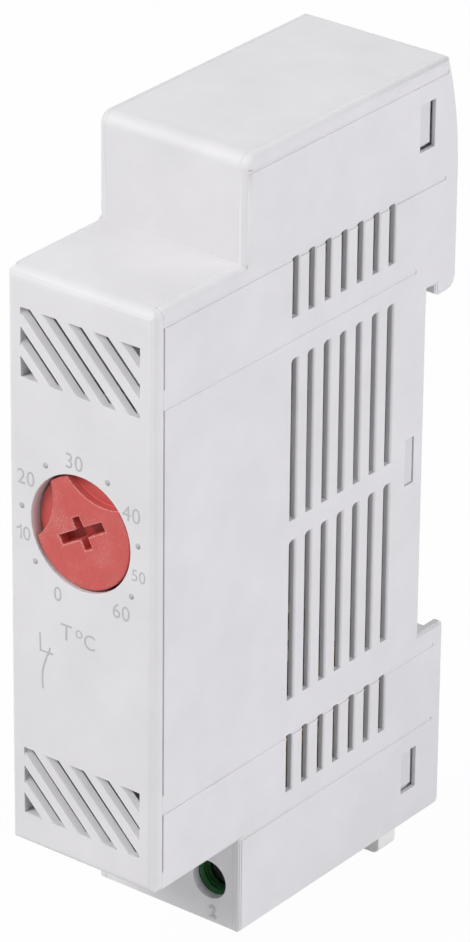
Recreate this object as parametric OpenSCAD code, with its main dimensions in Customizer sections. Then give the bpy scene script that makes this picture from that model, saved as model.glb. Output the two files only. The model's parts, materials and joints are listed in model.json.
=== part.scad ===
// Panel thermostat for a 35 mm mounting rail, one module wide.
// Front face looks along -Y, width runs along X, height along Z.
// The origin is the middle of the flat seat that the rail lies on.

/* [Housing] */
// Width over both side covers
body_w = 17.5; // [16.5:0.5:20]
// Height of the housing without the clip foot
body_h = 82; // [80:0.5:88]
// Depth from the front face to the lower rear face
body_d = 46.1; // [45:0.5:50]
// How far the nose stands out before the shoulders
nose_d = 13.4; // [12.6:0.2:14.2]
// Height of the shoulder above the nose
shoulder_h = 10.75; // [9:0.25:12]
// Height of the nose underside above the housing underside
nose_z = 10.4; // [10:0.1:12]
// Thickness of a side cover
side_t = 0.85; // [0.7:0.05:1]
// Thickness of the frame walls
wall = 1.2; // [1:0.1:1.4]
// Thickness of the front plate
front_t = 1.3; // [1.1:0.1:1.5]
// Radius of the top and front edges
edge_r = 1.3; // [0.9:0.1:1.6]

/* [Rail seat] */
// Height of the mounting rail
rail_h = 35; // [34.6:0.2:35.4]
// Depth of the rail recess
recess_d = 4.17; // [4:0.05:4.4]
// Height of the recess ledge above the housing underside
recess_z = 20.9; // [20:0.2:22]
// How far the clip foot hangs below the housing
clip_foot = 6.9; // [6:0.1:8]
// Travel of the rail clip
clip_travel = 3.5; // [2.5:0.1:3.6]

/* [Dial] */
// Radius of the dial knob
knob_r = 5.7; // [5:0.1:6.2]
// Thickness of the dial knob
knob_t = 3; // [2.6:0.05:3.05]
// Angle of the pointer from the upright, clockwise from the front
pointer_turn = -30; // [-60:5:60]
// Radius of the scallops beside the pointer
scallop_r = 6; // [5.8:0.1:6.4]
// Depth of the scallops
scallop_d = 0.9; // [0.7:0.1:1.5]

/* [Front grilles] */
// Width of a grille window
grille_w = 14.1; // [12:0.1:14.2]
// Height of a grille window
grille_h = 7.1; // [6:0.1:7.4]
// Distance between two diagonal bars, square to them
bar_pitch = 2.18; // [2:0.02:2.6]
// Width of a diagonal bar
bar_w = 0.95; // [0.6:0.05:1]

/* [Side slots] */
// Distance between two slots
slot_pitch = 2.5; // [2:0.1:2.6]
// Width of a slot
slot_w = 1; // [0.6:0.1:1.2]
// Number of slots in a row
slot_count = 7; // [3:1:7]
// Height of the slots in the outer rows
slot_short = 6.2; // [4:0.1:6.4]

/* [Terminals] */
// Distance of a terminal from the middle
term_x = 4.96; // [4.8:0.02:5]
// Height of a terminal screw above the housing underside
term_z = 4.64; // [4.5:0.02:4.8]
// Radius of a screw well in the housing
well_r = 2.04; // [2.02:0.02:2.2]
// Radius of a terminal screw thread
screw_r = 1.45; // [1.3:0.05:1.5]
// Travel of a clamp cage
cage_travel = 3; // [2:0.1:3]
// Clear width and depth of a wire entry
entry_w = 4.2; // [4.15:0.01:4.25]

/* [Mechanism] */
// Radius of the dial spindle
spindle_r = 2; // [1.8:0.05:2.1]
// Radius of the lever pin
pin_r = 1; // [0.8:0.05:1.2]
// Depth of the lever pin behind the front face
pin_y = 20; // [19:0.2:20.6]
// Thickness of the bimetal strip
bimetal_t = 0.6; // [0.4:0.05:0.7]
// Thickness of the contact bars
bar_t = 0.8; // [0.6:0.05:0.9]
// Wire thickness of the clip spring
spring_wire = 0.3; // [0.2:0.05:0.4]
// Number of curls in the clip spring
spring_curls = 8; // [5:1:9]

/* [Hidden] */

// Fineness of round shapes
$fn = 48;
// Extra length that lets a cut run past a face
over = 0.5;
// Gap of a sliding fit, of a running fit and of a seated piece
slide_gap = 0.3;
run_gap = 0.05;
seat_gap = 0.05;

// Colours
shell_grey = [0.87, 0.87, 0.88];
clip_white = [0.9, 0.9, 0.89];
dial_red = [0.79, 0.33, 0.33];
block_green = [0.09, 0.36, 0.17];
brass = [0.78, 0.66, 0.36];
steel = [0.66, 0.67, 0.69];
dark_steel = [0.4, 0.41, 0.43];
copper = [0.72, 0.45, 0.3];
silver = [0.83, 0.83, 0.84];

// Housing, worked out from the driving sizes
half_w = body_w / 2;
inner_w = half_w - side_t;
nose_top = body_h - shoulder_h;
nose_mid = body_h / 2;
seat_y = body_d - recess_d;
// Rounded edges of the nose sides, the nose underside and the small rear corners
side_r = side_t;
under_r = 1;
corner_r = 0.6;
// Depth of the full-width bezel, and thickness of the wall before the terminals
bezel_d = 1.35;
low_front_t = 1;
// Radius of the upper outer edges of a side cover
round_share = 0.9;
round_r = round_share * side_t;
// Chamfer steps round the outside of a side cover
cover_steps = [[0.12, 0.1], [0.3, 0.12]];

// Rear of the housing: the bulge above the rail and the fixed hook
bulge_out = 0.56;
bulge_r = 39;
bulge_share = 0.5144;
hook_play = 1.8;
hook_round = 1.4;
hook_nose = 1.37;
hook_tip_flat = 0.6;
hook_tip_rise = 0.45;
notch_rise = 0.9;
notch_extra = 0.1;
bulge_y = body_d + bulge_out;
bulge_c = bulge_y - bulge_r;
hook_z = recess_z + rail_h + hook_play;
head_h = body_h - hook_z;
bulge_drop = bulge_share * head_h;
bulge_z = body_h - bulge_drop;
notch_z = hook_z + notch_rise;
seat_floor_z = notch_z + wall;
bulge_top_turn = asin((bulge_drop - corner_r) / bulge_r);
bulge_in_turn = asin((bulge_drop - wall) / (bulge_r - wall));
top_y = bulge_c + bulge_r * cos(bulge_top_turn);
arc_steps = 8;

// The land that the rail lies on
land_low = 4.6;
land_relief = 0.15;
land_z0 = recess_z + land_low;
land_z1 = hook_z - corner_r;
seat_z = (land_z0 + land_z1) / 2;

// Ledge and clip channel in the lower rear
ledge_d = 1.97;
channel_d = 1.02;
ledge_y = seat_y + ledge_d;
channel_y = seat_y + channel_d;
channel_gap = 0.2;
clip_w = 7;
clip_half = clip_w / 2;
channel_half = clip_half + channel_gap;
guide_w = 1.8;
guide_top = 16;
lip_w = 1;
lip_t = 0.8;
lip_h = 3;

// Rail clip
clip_y = channel_y + slide_gap;
clip_rib_half = channel_half - lip_w - slide_gap;
clip_base_y = body_d - lip_t - slide_gap;
clip_nose_h = 4.3;
clip_nose_z = recess_z + clip_nose_h;
clip_bump = 0.12;
clip_bump_h = 1.4;
clip_lead = 1;
foot_r = 0.9;
foot_hole_w = 3.4;
foot_hole_h = 2;
foot_hole_up = 2;
foot_hole_z = foot_hole_up - clip_foot;
window_half = 1.45;
window_z0 = 4.4;
window_z1 = 15;
lug_half = 1.1;
lug_h = 1.4;
lug_d = 2.35;
lug_z = window_z0 + slide_gap;
lug_top = lug_z + lug_h;
lug_y = channel_y + lug_d;

// Clip spring, a compression coil along Z between the lug and the window top
spring_r = 0.85;
spring_sides = 6;
spring_rings = 8;
spring_y = channel_y + slide_gap + spring_r + spring_wire;
spring_z0 = lug_top + spring_wire / 2 + seat_gap;
spring_z1 = window_z1 - spring_wire / 2 - seat_gap;

// Windows and latches in the side covers: depth, width, lowest point, height
latch_w = 2.38;
latch_upper_in = 5.95;
latch_lower_in = 6.5;
latch_mid_in = 7.15;
latch_upper_y = body_d - latch_upper_in;
latch_lower_y = body_d - latch_lower_in;
latch_high_share = 0.2016;
latch_drop_share = 0.3539;
latch_upper_h = latch_high_share * head_h;
latch_upper_z = body_h - latch_drop_share * head_h;
latch_lower_h = 4.6;
latch_lower_z = 3.7;
latch_mid_w = 1.4;
latch_mid_h = 5;
latch_mid_y = body_d - latch_mid_in;
latch_mid_z = nose_mid - latch_mid_h / 2;
latch_fill = 2.05;
latch_drop = 0.4;
latch_gap = 0.12;
latch_sink = 0.4;
window_lip = 0.47;
window_under = 0.6;

// Panel lines on the side covers
line_w = 0.32;
line_d = 0.14;
line_top_drop = 1.64;
line_a_drop = 1.84;
line_b_drop = 8.29;
line_c_rise = 8.3;
line_d_drop = 0.05;
line_front_in = 0.15;
line_back_in = 1.6;
line_short_in = 1.85;
line_top_z = body_h - line_top_drop;
line_a_z = nose_top - line_a_drop;
line_b_z = line_a_z - line_b_drop;
line_c_z = nose_z + line_c_rise;
line_d_z = nose_z - line_d_drop;
line_front = bezel_d + line_front_in;
line_back = body_d - line_back_in;
line_short_back = seat_y - line_short_in;
seam_w = 0.2;
seam_d = 0.3;
seam_gap = 2;

// Side slots
slot_back = 21.43;
slot_y = seat_y - slot_back;
slot_lap = 0.1;
slot_round_share = 0.45;
slot_round = slot_round_share * slot_w;
slot_thin_share = 0.2;
slot_thin = slot_thin_share * side_t;
slot_field = 0.5;
slot_clear = 2.02;
slot_lower_clear = 4;
slot_mid_gap = 1.07;
slot_low_clear = 2.18;
slot_rows = [
    [line_d_z + slot_low_clear, line_d_z + slot_low_clear + slot_short],
    [line_c_z + slot_lower_clear, nose_mid - slot_mid_gap],
    [nose_mid + slot_mid_gap, line_b_z - slot_clear],
    [line_a_z + slot_lap - slot_short, line_a_z + slot_lap]];

// Front grilles: lowest point of each window and the first bar
grille_edge = 3.88;
grille_low_edge = 3.52;
grille_low_z = nose_z + grille_low_edge;
grille_high_z = nose_top - grille_edge - grille_h;
bar_round = 0.2;
bar_d = 0.7;
bar_lean = 0.35;
bar_first = 1.48;
bar_reach = 3 * grille_w;

// Dial recess, its collar and the end stop
dial_up = 5.15;
dial_z = nose_mid + dial_up;
knob_gap = 0.25;
knob_sink = 0.2;
hole_r = knob_r + knob_gap;
collar_t = 0.75;
collar_end = 4.6;
stop_w = 2.5;
stop_in = 1.7;
stop_gap = 0.15;
scallop_side = 7;
scallop_up = 6.85;
cross_long = 5.9;
cross_short = 3.3;
cross_w = 0.98;
cross_d = 1.1;
knob_y1 = knob_sink + knob_t;
hub_r = 3.4;
hub_t = 0.65;
stop_lug_in = 4.3;
stop_lug_out = 5.5;
stop_lug_w = 1.4;
stop_lug_t = 0.85;
knob_bore_y = 1.75;

// Heights in the contact stack, from the terminal block upwards
tb_z1 = 12.3;
bar_space = 1.8;
anvil_t = 1;
contact_gap = 0.42;
button_t = 1.6;
arm_t = 0.3;
pusher_gap = 0.65;
line_z0 = tb_z1 + 2 * seat_gap;
line_z1 = line_z0 + bar_t;
load_z0 = line_z1 + bar_space;
load_z1 = load_z0 + bar_t;
anvil_top = load_z1 + anvil_t;
button_low = anvil_top + contact_gap;
arm_z = button_low + button_t;
arm_top = arm_z + arm_t;
pusher_low = arm_top + pusher_gap;
// Height of the lever pin between the contact arm and the dial
pin_share = 0.3285;
pin_z = arm_top + pin_share * (dial_z - arm_top);

// Spindle, bushing and bracket
washer_t = 0.2;
washer_r = 3.5;
flange_y = knob_y1 + hub_t + 2 * seat_gap + washer_t;
flange_t = 0.75;
plate_y = flange_y + flange_t;
plate_t = 0.8;
flange_r = 3.3;
bushing_r = 2.7;
bushing_len = 4.1;
bushing_end = plate_y + bushing_len;
nut_t = 1.5;
nut_across = 7;
ring_r = 3;
ring_t = 0.6;
groove_d = 0.35;
groove_r = spindle_r - groove_d;
ring_y = bushing_end + 2 * seat_gap;
thread_r = 1.5;
thread_y = ring_y + ring_t + 2 * seat_gap;
thread_len = 4.5;
spindle_end = thread_y + thread_len;
plate_half = 6.6;
plate_low = 3;
plate_high = 13;
plate_z0 = pin_z + plate_low;
plate_z1 = dial_z + plate_high;
ear_t = 0.8;
ear_back = 3;
ear_low = 3.5;
ear_high = 2;
boss_r = 2;
boss_in = 2.3;
boss_low_z = plate_z0 + boss_in;
boss_high_z = plate_z1 - boss_in;
tap_r = 0.9;
tap_head_r = 1.7;
tap_head_t = 1.1;
tap_len = 3.2;
guide_in = 3.5;
guide_t = 0.8;
guide_h = 5.2;
guide_end = 8.7;

// Pressure nut with hooked prongs
block_half = guide_in - slide_gap;
block_t = 2.2;
block_h = 4.6;
block_start = 0.65;
block_y = thread_y + block_start;
prong_in = 1.7;
prong_neck = 2.7;
prong_h = 2.4;
lever_clear = 1;
lever_y = spindle_end + lever_clear;
lever_t = 0.8;
prong_lip_t = 0.7;
lip_reach = 0.1;

// Setting lever
lever_half = 3.2;
lever_top = 4;
lever_wide = 5.4;
lever_ear_t = 0.8;
lever_ear_up = 2.2;
lever_ear_reach = 3;
base_drop = 2.8;
base_z = pin_z - base_drop;
base_back = 5.5;
lever_slot_in = 1.4;
lever_slot_out = 3;
pin_over = 0.4;

// Bimetal strip and what it carries
bimetal_half = 2.2;
bimetal_front = 2.5;
work_d = seat_y - wall - pin_y;
strip_share = 0.627;
bimetal_reach = strip_share * work_d;
bimetal_z = base_z - seat_gap - bimetal_t;
rivet_x = 1.3;
rivet_in = 1;
rivet_r = 0.5;
rivet_head_r = 0.95;
rivet_head_t = 0.45;
trim_in = 3.8;
trim_r = 0.95;
trim_len = 2.6;
trim_slot = 0.4;
pusher_share = 0.55;
pusher_in = pusher_share * work_d;
pusher_r = 0.8;
pusher_neck_r = 0.5;

// Contacts
post_share = 0.1785;
post_y = seat_y - wall - post_share * work_d;
arm_half = 2.2;
arm_neck = 1.5;
arm_share = 0.54;
arm_front = arm_share * work_d;
arm_tail = 0.6;
button_share = 0.381;
button_in = button_share * work_d;
button_r_share = 0.0724;
button_r = button_r_share * work_d;
shank_r = 0.7;
armature_half = 1.8;
armature_share = 0.0772;
armature_d = armature_share * work_d;
magnet_half = 1.6;
magnet_gap = 0.65;

// Terminal block, screws and cages
block_wall = 0.15;
tb_half = inner_w - block_wall;
tb_y0 = nose_d + low_front_t + seat_gap;
tb_z0 = wall + seat_gap;
funnel_r = 1.7;
funnel_d = 0.4;
lip_d = 1.45;
head_r = 1.88;
head_t = 1.2;
ridge_r = 1.86;
ridge_gap = 0.2;
ridge_places = [0.55, 0.95];
head_gap = 0.12;
head_y = tb_y0 + lip_d + run_gap * 2;
cross_screw_w = 0.55;
cross_screw_d = 0.7;
cross_screw_reach = 1.3;
pocket_wall = 1.1;
pocket_y0 = head_y + head_t + pocket_wall;
cage_t = 0.4;
cage_half = entry_w / 2 + cage_t;
cage_front_t = 1.4;
cage_back_t = 0.9;
cage_below = 3;
cage_above = 3.1;
cage_y0 = pocket_y0 + slide_gap + cage_travel;
bar_y0 = cage_y0 + cage_front_t + slide_gap;
bar_y1 = bar_y0 + bar_t;
entry_y0 = bar_y1 + run_gap;
entry_y1 = entry_y0 + entry_w;
cage_back_y = entry_y1 + run_gap;
cage_y1 = cage_back_y + cage_back_t;
pocket_y1 = cage_y1 + slide_gap;
pocket_over = 1.6;
tb_y1 = pocket_y1 + pocket_wall;
pocket_top = term_z + cage_above + pocket_over;
tongue_half = 1.8;
tongue_z0 = term_z - cage_below + run_gap;

// Depth of the contact buttons, and how far the load bar runs past them
button_y = post_y - button_in;
load_reach = 2;

// Points of an arc, from one angle to another
function arc(c, r, a0, a1) = [for (i = [0:arc_steps])
    let (a = a0 + (a1 - a0) * i / arc_steps) c + r * [cos(a), sin(a)]];

// Moves a piece from the working corner to the origin at the rail seat
module placed() {
    translate([0, -seat_y, -seat_z]) children();
}

// A box between two corners
module span(a, b) {
    translate(a) cube(b - a);
}

// The same shape on the left and on the right
module both_sides() {
    children();
    mirror([1, 0, 0]) children();
}

// A round bar along Y
module rod_y(r, y0, y1, x = 0, z = 0) {
    translate([x, y0, z]) rotate([-90, 0, 0]) cylinder(r = r, h = y1 - y0);
}

// A round bar along Z
module rod_z(r, z0, z1, x = 0, y = 0) {
    translate([x, y, z0]) cylinder(r = r, h = z1 - z0);
}

// An outline in depth and height, made as thick as the span from x0 to x1
module profile_x(x0, x1) {
    translate([x0, 0, 0]) rotate([90, 0, 90]) linear_extrude(height = x1 - x0) children();
}

// Upper and rear edge of the housing from the shoulder to the rail seat, drawn in by e
function upper_edge(e) = concat(
    [[nose_d + e, nose_top - e]],
    arc([nose_d + edge_r, body_h - edge_r], edge_r - e, 180, 90),
    arc([top_y - corner_r, body_h - corner_r], corner_r - e, 90, bulge_top_turn),
    arc([bulge_c, bulge_z], bulge_r - e, bulge_top_turn, 0),
    arc([bulge_y - hook_round, hook_z + hook_round - hook_tip_rise], hook_round - e, 0, -90),
    [[seat_y + hook_nose + hook_tip_flat, hook_z - hook_tip_rise + e],
    [seat_y + hook_nose + e, hook_z + e],
    [seat_y + hook_nose + e, notch_z + e],
    [seat_y + notch_extra - e, notch_z + e],
    [seat_y + notch_extra - e, land_z1],
    [seat_y - e, land_z1]]);

// Side view of a cover, drawn in by e
function cover_edge(e) = concat(
    [[bezel_d, nose_z + e], [bezel_d, nose_top - e]],
    upper_edge(e),
    [[seat_y - e, recess_z - e]],
    arc([body_d - corner_r, recess_z - corner_r], corner_r - e, 90, 0),
    arc([body_d - corner_r, corner_r], corner_r - e, 0, -90),
    [[nose_d + e, e], [nose_d + e, nose_z + e]]);

// Side view of the frame
function frame_edge() = concat(
    arc([under_r, nose_z + under_r], under_r, 270, 180),
    arc([edge_r, nose_top - edge_r], edge_r, 180, 90),
    upper_edge(0),
    [[seat_y, land_z0],
    [seat_y - land_relief, land_z0],
    [seat_y - land_relief, recess_z],
    [ledge_y, recess_z],
    [ledge_y, 0],
    [nose_d, 0], [nose_d, nose_z]]);

// Side view of the hollow in the frame
function hollow_edge() = concat(
    [[front_t, nose_z + wall], [front_t, nose_top - wall],
    [nose_d + wall, nose_top - wall], [nose_d + wall, body_h - wall]],
    arc([bulge_c, bulge_z], bulge_r - wall, bulge_in_turn, 0),
    [[bulge_y - wall, seat_floor_z], [seat_y - wall, seat_floor_z],
    [seat_y - wall, recess_z - wall], [channel_y - wall, recess_z - wall],
    [channel_y - wall, wall],
    [nose_d + low_front_t, wall], [nose_d + low_front_t, nose_z + wall]]);

// One diagonal bar of a grille, along its own length, with a sloping upper flank
module grille_bar() {
    rotate([0, 45, 0]) rotate([90, 0, 90]) linear_extrude(height = bar_reach, center = true)
        polygon([[0, 0], [0, bar_w - bar_round], [bar_round / 2, bar_w], [bar_d, bar_w + bar_lean],
            [bar_d, 0]]);
}

// All bars of a grille whose window starts at height z0
module grille_bars(z0) {
    count = floor((grille_w + grille_h) / (bar_pitch * sqrt(2)));
    intersection() {
        span([-grille_w / 2 - run_gap, 0, z0 - run_gap],
            [grille_w / 2 + run_gap, front_t, z0 + grille_h + run_gap]);
        for (i = [0:count - 1])
            translate([-grille_w / 2, 0, z0 + (bar_first + i * bar_pitch) * sqrt(2)])
                grille_bar();
    }
}

// Front part of the nose over the full width, with its rounded edges
module bezel() {
    intersection() {
        profile_x(-half_w, half_w) intersection() {
            polygon(frame_edge());
            square([bezel_d, body_h]);
        }
        linear_extrude(height = body_h) union() {
            translate([-half_w + side_r, 0]) square([body_w - 2 * side_r, bezel_d]);
            translate([-half_w, side_r]) square([body_w, bezel_d]);
            for (s = [-1, 1]) translate([s * (half_w - side_r), side_r]) circle(r = side_r);
        }
        union() {
            span([-half_w, -over, nose_z + corner_r], [half_w, bezel_d + over, nose_top - edge_r]);
            span([-half_w + edge_r, -over, nose_mid],
                [half_w - edge_r, bezel_d + over, nose_top + over]);
            span([-half_w + corner_r, -over, nose_z - over],
                [half_w - corner_r, bezel_d + over, nose_mid]);
            for (s = [-1, 1]) {
                rod_y(edge_r, -over, bezel_d + over, s * (half_w - edge_r), nose_top - edge_r);
                rod_y(corner_r, -over, bezel_d + over, s * (half_w - corner_r), nose_z + corner_r);
            }
        }
    }
}

// Latches that snap into the windows of the side covers
module frame_latches() {
    both_sides() {
        span([inner_w - over, latch_upper_y + latch_gap, latch_upper_z + latch_drop],
            [half_w - latch_sink, latch_upper_y + latch_fill, latch_upper_z + latch_upper_h - latch_gap]);
        span([inner_w - over, latch_lower_y + latch_gap, latch_lower_z + latch_drop],
            [half_w - latch_sink, latch_lower_y + latch_fill, latch_lower_z + latch_lower_h - latch_gap]);
        span([inner_w - over, latch_mid_y + latch_gap, latch_mid_z + latch_gap],
            [half_w - latch_gap, latch_mid_y + latch_mid_w - latch_gap,
            latch_mid_z + latch_mid_h - latch_gap]);
    }
}

// Guides and retaining lips of the clip channel, and the lug for the spring
module clip_guides() {
    both_sides() {
        span([channel_half, channel_y, 0], [channel_half + guide_w, body_d, guide_top]);
        span([channel_half - lip_w, body_d - lip_t, 0], [channel_half + run_gap, body_d, lip_h]);
        span([channel_half - lip_w, body_d - lip_t, guide_top - lip_h],
            [channel_half + run_gap, body_d, guide_top]);
    }
    span([-lug_half, channel_y - run_gap, lug_z], [lug_half, lug_y, lug_top]);
}

// Small bosses for the bracket screws, the dial collar and the end stop
module front_bosses() {
    for (z = [boss_low_z, boss_high_z]) rod_y(boss_r, front_t - run_gap, plate_y - seat_gap, 0, z);
    rod_y(hole_r + collar_t, front_t - run_gap, collar_end, 0, dial_z);
}

module dial_end_stop() {
    span([-stop_w / 2, knob_y1 + stop_gap, dial_z - hole_r - collar_t / 2],
        [stop_w / 2, collar_end, dial_z - hole_r + stop_in]);
}

// Bays that locate the two latches of the frame against the upper rear wall
module frame_ribs() {
    span([-inner_w, latch_upper_y - wall, latch_upper_z],
        [inner_w, latch_upper_y + latch_fill, body_h - wall + run_gap]);
    span([-inner_w, seat_y - wall - latch_mid_w, latch_mid_z],
        [inner_w, seat_y - wall + run_gap, latch_mid_z + latch_mid_h]);
    both_sides() span([inner_w - wall, latch_lower_y - wall, wall - run_gap],
        [inner_w, channel_y - wall + run_gap, latch_lower_z + latch_lower_h + wall]);
}

// Central moulding with the front, top, bottom and rear walls
module housing_frame() {
    color(shell_grey) placed() difference() {
        union() {
            difference() {
                union() {
                    profile_x(-inner_w, inner_w) polygon(frame_edge());
                    bezel();
                }
                profile_x(-inner_w - over, inner_w + over) polygon(hollow_edge());
                span([-channel_half, channel_y, -over], [channel_half, ledge_y + over, recess_z + over]);
                for (z = [grille_low_z, grille_high_z])
                    span([-grille_w / 2, -over, z], [grille_w / 2, front_t + over, z + grille_h]);
            }
            grille_bars(grille_low_z);
            grille_bars(grille_high_z);
            front_bosses();
            clip_guides();
            frame_latches();
            frame_ribs();
        }
        difference() {
            rod_y(hole_r, -over, collar_end + over, 0, dial_z);
            dial_end_stop();
        }
        for (z = [boss_low_z, boss_high_z])
            rod_y(tap_r + run_gap / 2, plate_y - tap_len, plate_y + over, 0, z);
        for (s = [-1, 1]) {
            rod_y(well_r, nose_d - over, nose_d + low_front_t + over, s * term_x, term_z);
            span([s * term_x - entry_w / 2, entry_y0, -over],
                [s * term_x + entry_w / 2, entry_y1, wall + over]);
        }
    }
}

// Slots of one side cover, each with one round upper corner, and the thinner wall round each row
module cover_slots() {
    for (row = slot_rows, i = [0:slot_count - 1])
        profile_x(inner_w - over, half_w + over) translate([slot_y + i * slot_pitch, row[0]]) union() {
            translate([slot_round, 0]) square([slot_w - slot_round, row[1] - row[0]]);
            square([slot_w, row[1] - row[0] - slot_round]);
            translate([slot_round, row[1] - row[0] - slot_round]) circle(r = slot_round);
        }
    for (row = slot_rows)
        span([inner_w - over, slot_y - slot_field, row[0] - slot_field],
            [inner_w + slot_thin, slot_y + (slot_count - 1) * slot_pitch + slot_w + slot_field,
            row[1] + slot_field]);
}

// Material outside the rounding of an upper outer edge that runs along the depth
module depth_edge(y0, y1, z) {
    difference() {
        span([half_w - round_r, y0, z - round_r], [half_w + over, y1, z + over]);
        rod_y(round_r, y0 - over, y1 + over, half_w - round_r, z - round_r);
    }
}

// Material outside the rounding of an upright outer edge at the front
module upright_edge(z0, z1) {
    difference() {
        span([half_w - round_r, nose_d - over, z0], [half_w + over, nose_d + round_r, z1]);
        rod_z(round_r, z0 - over, z1 + over, half_w - round_r, nose_d + round_r);
    }
}

// Material outside the rounding of the curved upper edge of the shoulder
module shoulder_edge() {
    translate([half_w - round_r, nose_d + edge_r, body_h - edge_r])
        rotate([180, 0, 0]) rotate([0, 90, 0]) rotate_extrude(angle = 90) difference() {
            translate([edge_r - round_r, 0]) square([round_r + over, round_r + over]);
            translate([edge_r - round_r, 0]) circle(r = round_r);
        }
}

// Material outside the roundings of the upper outer edges
module cover_roundings() {
    depth_edge(bezel_d - over, nose_d, nose_top);
    depth_edge(nose_d + edge_r, body_d + over, body_h);
    upright_edge(nose_top, body_h - edge_r);
    shoulder_edge();
}

// A shallow line along the depth at height z
module depth_line(y0, y1, z) {
    span([half_w - line_d, y0, z - line_w / 2], [half_w + over, y1, z + line_w / 2]);
}

// Panel lines and the broken upright seam behind the bezel
module cover_lines() {
    depth_line(nose_d, line_back, line_top_z);
    depth_line(line_front, line_back, line_a_z);
    depth_line(line_front, line_short_back, line_b_z);
    depth_line(line_front, line_back, line_c_z);
    depth_line(nose_d - corner_r, line_back, line_d_z);
    for (part = [[nose_z + 2 * under_r, line_c_z], [line_c_z + seam_gap, line_b_z],
        [line_b_z + seam_gap, line_a_z]])
        span([half_w - seam_d, bezel_d - over, part[0]], [half_w + over, bezel_d + seam_w, part[1]]);
}

// One latch window, wider behind its outer lip
module latch_window(y, z, h) {
    span([inner_w - over, y, z], [half_w + over, y + latch_w, z + h]);
    span([inner_w - over, y, z - window_under], [half_w - window_lip, y + latch_w + window_under, z + h]);
}

// Windows for the latches
module cover_windows() {
    latch_window(latch_upper_y, latch_upper_z, latch_upper_h);
    latch_window(latch_lower_y, latch_lower_z, latch_lower_h);
    span([inner_w - over, latch_mid_y, latch_mid_z],
        [half_w + over, latch_mid_y + latch_mid_w, latch_mid_z + latch_mid_h]);
}

// Flat cover that closes one side, with chamfered outer edges
module side_cover() {
    step_a = cover_steps[0];
    step_b = cover_steps[1];
    difference() {
        union() {
            profile_x(inner_w, half_w - step_a[1] - step_b[1]) polygon(cover_edge(0));
            profile_x(inner_w + run_gap, half_w - step_a[1]) polygon(cover_edge(step_a[0]));
            profile_x(inner_w + run_gap, half_w) polygon(cover_edge(step_b[0]));
        }
        cover_slots();
        cover_lines();
        cover_windows();
        cover_roundings();
    }
}

module side_cover_right() {
    color(shell_grey) placed() side_cover();
}

module side_cover_left() {
    color(shell_grey) placed() mirror([1, 0, 0]) side_cover();
}

// Outline of the clip seen from the rear, with round corners at the foot
module clip_outline() {
    union() {
        translate([-clip_half, foot_r - clip_foot]) square([clip_w, clip_nose_z + clip_foot]);
        translate([foot_r - clip_half, -clip_foot]) square([clip_w - 2 * foot_r, 2 * foot_r]);
        for (s = [-1, 1]) translate([s * (clip_half - foot_r), foot_r - clip_foot]) circle(r = foot_r);
    }
}

// Sliding clip that closes under the rail, with a foot for a screwdriver
module rail_clip() {
    color(clip_white) placed() difference() {
        intersection() {
            union() {
                profile_x(-clip_half, clip_half) polygon([
                    [clip_y, -clip_foot], [clip_base_y, -clip_foot],
                    [clip_base_y, clip_nose_z], [clip_y + clip_lead, clip_nose_z],
                    [clip_y - clip_bump, clip_nose_z - clip_lead],
                    [clip_y - clip_bump, clip_nose_z - clip_lead - clip_bump_h],
                    [clip_y, clip_nose_z - clip_lead - clip_bump_h - clip_bump]]);
                profile_x(-clip_rib_half, clip_rib_half) polygon([
                    [clip_base_y - over, -clip_foot], [body_d - run_gap, -clip_foot],
                    [body_d - run_gap, clip_nose_z - clip_lead], [clip_base_y, clip_nose_z],
                    [clip_base_y - over, clip_nose_z]]);
                span([-clip_half, clip_y, -clip_foot],
                    [clip_half, body_d - run_gap, -clip_travel - slide_gap]);
            }
            translate([0, body_d + over, 0]) rotate([90, 0, 0]) linear_extrude(height = body_d)
                clip_outline();
        }
        span([-window_half, clip_y - over, window_z0], [window_half, body_d + over, window_z1]);
        span([-foot_hole_w / 2, clip_y - over, foot_hole_z - foot_hole_h / 2],
            [foot_hole_w / 2, body_d + over, foot_hole_z + foot_hole_h / 2]);
    }
}

// Middle of the wire at step k of the rising coil
function coil_point(k) = [
    spring_r * cos(360 * k / spring_rings),
    spring_y + spring_r * sin(360 * k / spring_rings),
    spring_z0 + k * (spring_z1 - spring_z0) / (spring_curls * spring_rings)];

// Points round the wire at step k
function coil_ring(k) = [for (j = [0:spring_sides - 1])
    let (turn = 360 * k / spring_rings, a = 360 * j / spring_sides)
    coil_point(k) + spring_wire / 2 * [cos(a) * cos(turn), cos(a) * sin(turn), sin(a)]];

// Least gap of the coil to itself, from the wire's middle at steps most of a curl apart
coil_last = spring_curls * spring_rings;
coil_apart = spring_rings - 2;
spring_gap = min([for (i = [0:coil_last - coil_apart], j = [i + coil_apart:coil_last])
    norm(coil_point(i) - coil_point(j))]) - spring_wire;
echo("least gap of the clip spring to itself", spring_gap);

// Compression coil that drives the clip upwards
module clip_spring() {
    points = [for (k = [0:coil_last], p = coil_ring(k)) p];
    sides = [for (k = [0:coil_last - 1], j = [0:spring_sides - 1], half = [0, 1])
        let (a = k * spring_sides + j, b = k * spring_sides + (j + 1) % spring_sides)
        half == 0 ? [a, a + spring_sides, b] : [b, a + spring_sides, b + spring_sides]];
    caps = [for (j = [1:spring_sides - 2], end = [0, 1])
        let (first = end * coil_last * spring_sides)
        end == 0 ? [first, first + j, first + j + 1] : [first, first + j + 1, first + j]];
    color(steel) placed() polyhedron(points = points, faces = concat(sides, caps));
}

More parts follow.
